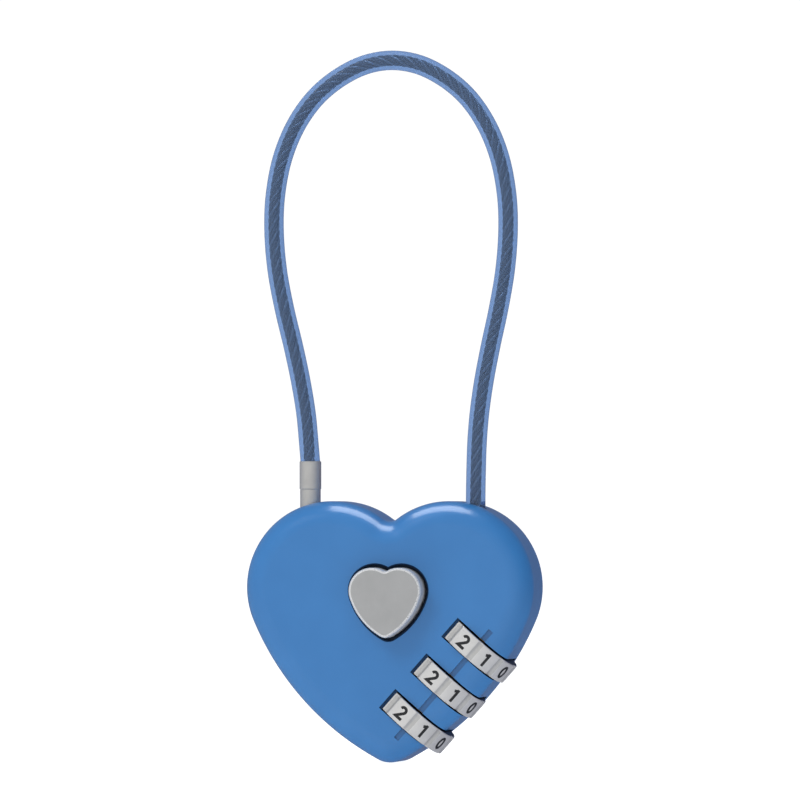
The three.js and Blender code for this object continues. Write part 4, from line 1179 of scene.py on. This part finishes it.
def smooth_line(points, spacing):
    """Evenly spaced points on the centripetal Catmull-Rom curve through the route's points."""
    padded = [points[0] * 2 - points[1], *points, points[-1] * 2 - points[-2]]
    dense = []
    for a, b, c, d in zip(padded, padded[1:], padded[2:], padded[3:]):
        knots = [0.0]
        for start, end in ((a, b), (b, c), (c, d)):
            knots.append(knots[-1] + math.sqrt((end - start).length))
        for i in range(CURVE_STEPS):
            t = knots[1] + (knots[2] - knots[1]) * i / CURVE_STEPS
            dense.append(point_between(a, b, c, d, knots, t))
    dense.append(points[-1].copy())
    return resampled(dense, spacing)


def point_between(a, b, c, d, knots, t):
    """The curve's point between b and c at knot value t."""
    def blend(p, q, low, high):
        return p * ((high - t) / (high - low)) + q * ((t - low) / (high - low))
    ab = blend(a, b, knots[0], knots[1])
    bc = blend(b, c, knots[1], knots[2])
    cd = blend(c, d, knots[2], knots[3])
    return blend(blend(ab, bc, knots[0], knots[2]), blend(bc, cd, knots[1], knots[3]), knots[1], knots[2])


def resampled(dense, spacing):
    """Points at even distances, as near to the spacing as divides the line evenly."""
    total = sum((b - a).length for a, b in zip(dense, dense[1:]))
    count = max(2, round(total / spacing))
    step = total / count
    line = [dense[0]]
    travelled = 0.0
    for a, b in zip(dense, dense[1:]):
        length = (b - a).length
        while len(line) < count and travelled + length >= step * len(line):
            line.append(a.lerp(b, (step * len(line) - travelled) / length))
        travelled += length
    line.append(dense[-1])
    return line


def frames_along(line):
    """A (point, side, other side) frame at each point, carried along without twisting."""
    ahead = line[1:] + line[-1:]
    behind = line[:1] + line[:-1]
    tangents = [(b - a).normalized() for a, b in zip(behind, ahead)]
    side = Vector((0, 1, 0))
    frames = []
    for point, tangent in zip(line, tangents):
        side = (side - tangent * side.dot(tangent)).normalized()
        frames.append((point, side, tangent.cross(side)))
    return frames


def tube_rings(frames, radius, sides):
    rings = []
    for point, side, other in frames:
        ring = []
        for i in range(sides):
            angle = 2 * math.pi * i / sides
            ring.append(point + side * (radius * math.cos(angle)) + other * (radius * math.sin(angle)))
        rings.append(ring)
    return rings


def make_sleeve():
    """The clear sleeve, and its middle line in the CAD frame."""
    line = smooth_line(route(SLEEVE_LOW_Z, FERRULE_TOP_Z - 0.25), SLEEVE_STEP)
    sleeve = loft(tube_rings(frames_along(line), CABLE_R, SLEEVE_SIDES))
    finished(sleeve, "cable_sleeve", "sheath_pvc", sharp=60, replaces=["cable_sheath"])
    return sleeve, [TO_FRAME @ point for point in line]


def strand_line(frames, number):
    """The middle line of one strand in its lay round the rope's core."""
    reach = ROPE_R - STRAND_R
    line = []
    for i, (point, side, other) in enumerate(frames):
        turn = 2 * math.pi * (i * STRAND_STEP / STRAND_LAY + number / STRANDS)
        line.append(point + side * (reach * math.cos(turn)) + other * (reach * math.sin(turn)))
    return line


def make_strands():
    """Six strands laid round a core. The core and every second strand are darker: painted shade between the
    strands.
    """
    core_line = smooth_line(route(ROPE_LOW_Z, PLUG_TOP_Z - 2.8), STRAND_STEP)
    frames = frames_along(core_line)
    # Index 1 is the darker strand metal, painted shade.
    parts = [(core_line, CORE_STRAND_R, 1)]
    parts += [(strand_line(frames, number), STRAND_R, number % 2) for number in range(STRANDS)]
    bm = bmesh.new()
    for line, radius, shade in parts:
        piece = loft(tube_rings(frames_along(line), radius, STRAND_SIDES))
        for face in piece.data.polygons:
            face.material_index = shade
        bm.from_mesh(piece.data)
        bpy.data.objects.remove(piece)
    strands = new_object(bm)
    strands.data.materials.append(LOOKS["rope_steel"])
    strands.data.materials.append(LOOKS["painted_shade_rope"])
    return finished(strands, "rope_strands", "rope_steel", sharp=60, replaces=["wire_rope"])


def make_cable():
    """The sleeve and its rope, from the fixed end in the case to the free end at the plug."""
    sleeve, path = make_sleeve()
    strands = make_strands()
    for piece in (sleeve, strands):
        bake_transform(piece)


# ------ the CAD pieces inside the case

def dress_inner_nodes():
    """Gives each CAD node that stays its slot's material."""
    slots = {row["node"]: row["material_slot"] for row in frame["record"]["subparts"]}
    for name, node in frame["nodes"].items():
        if not node.hide_render:
            node.data.materials.clear()
            node.data.materials.append(LOOKS[slots[name]])


# ------ assembly

add_camera()
set_colour_view()
make_cable()
make_case()
make_cover()
make_rivets()
for number, place in enumerate(WHEEL_STEPS, start=1):
    make_wheel(number, place)
    make_numbers(number, place)
make_button()
make_plug()
make_ferrule()
dress_inner_nodes()
add_world()
add_lights()
add_floor()
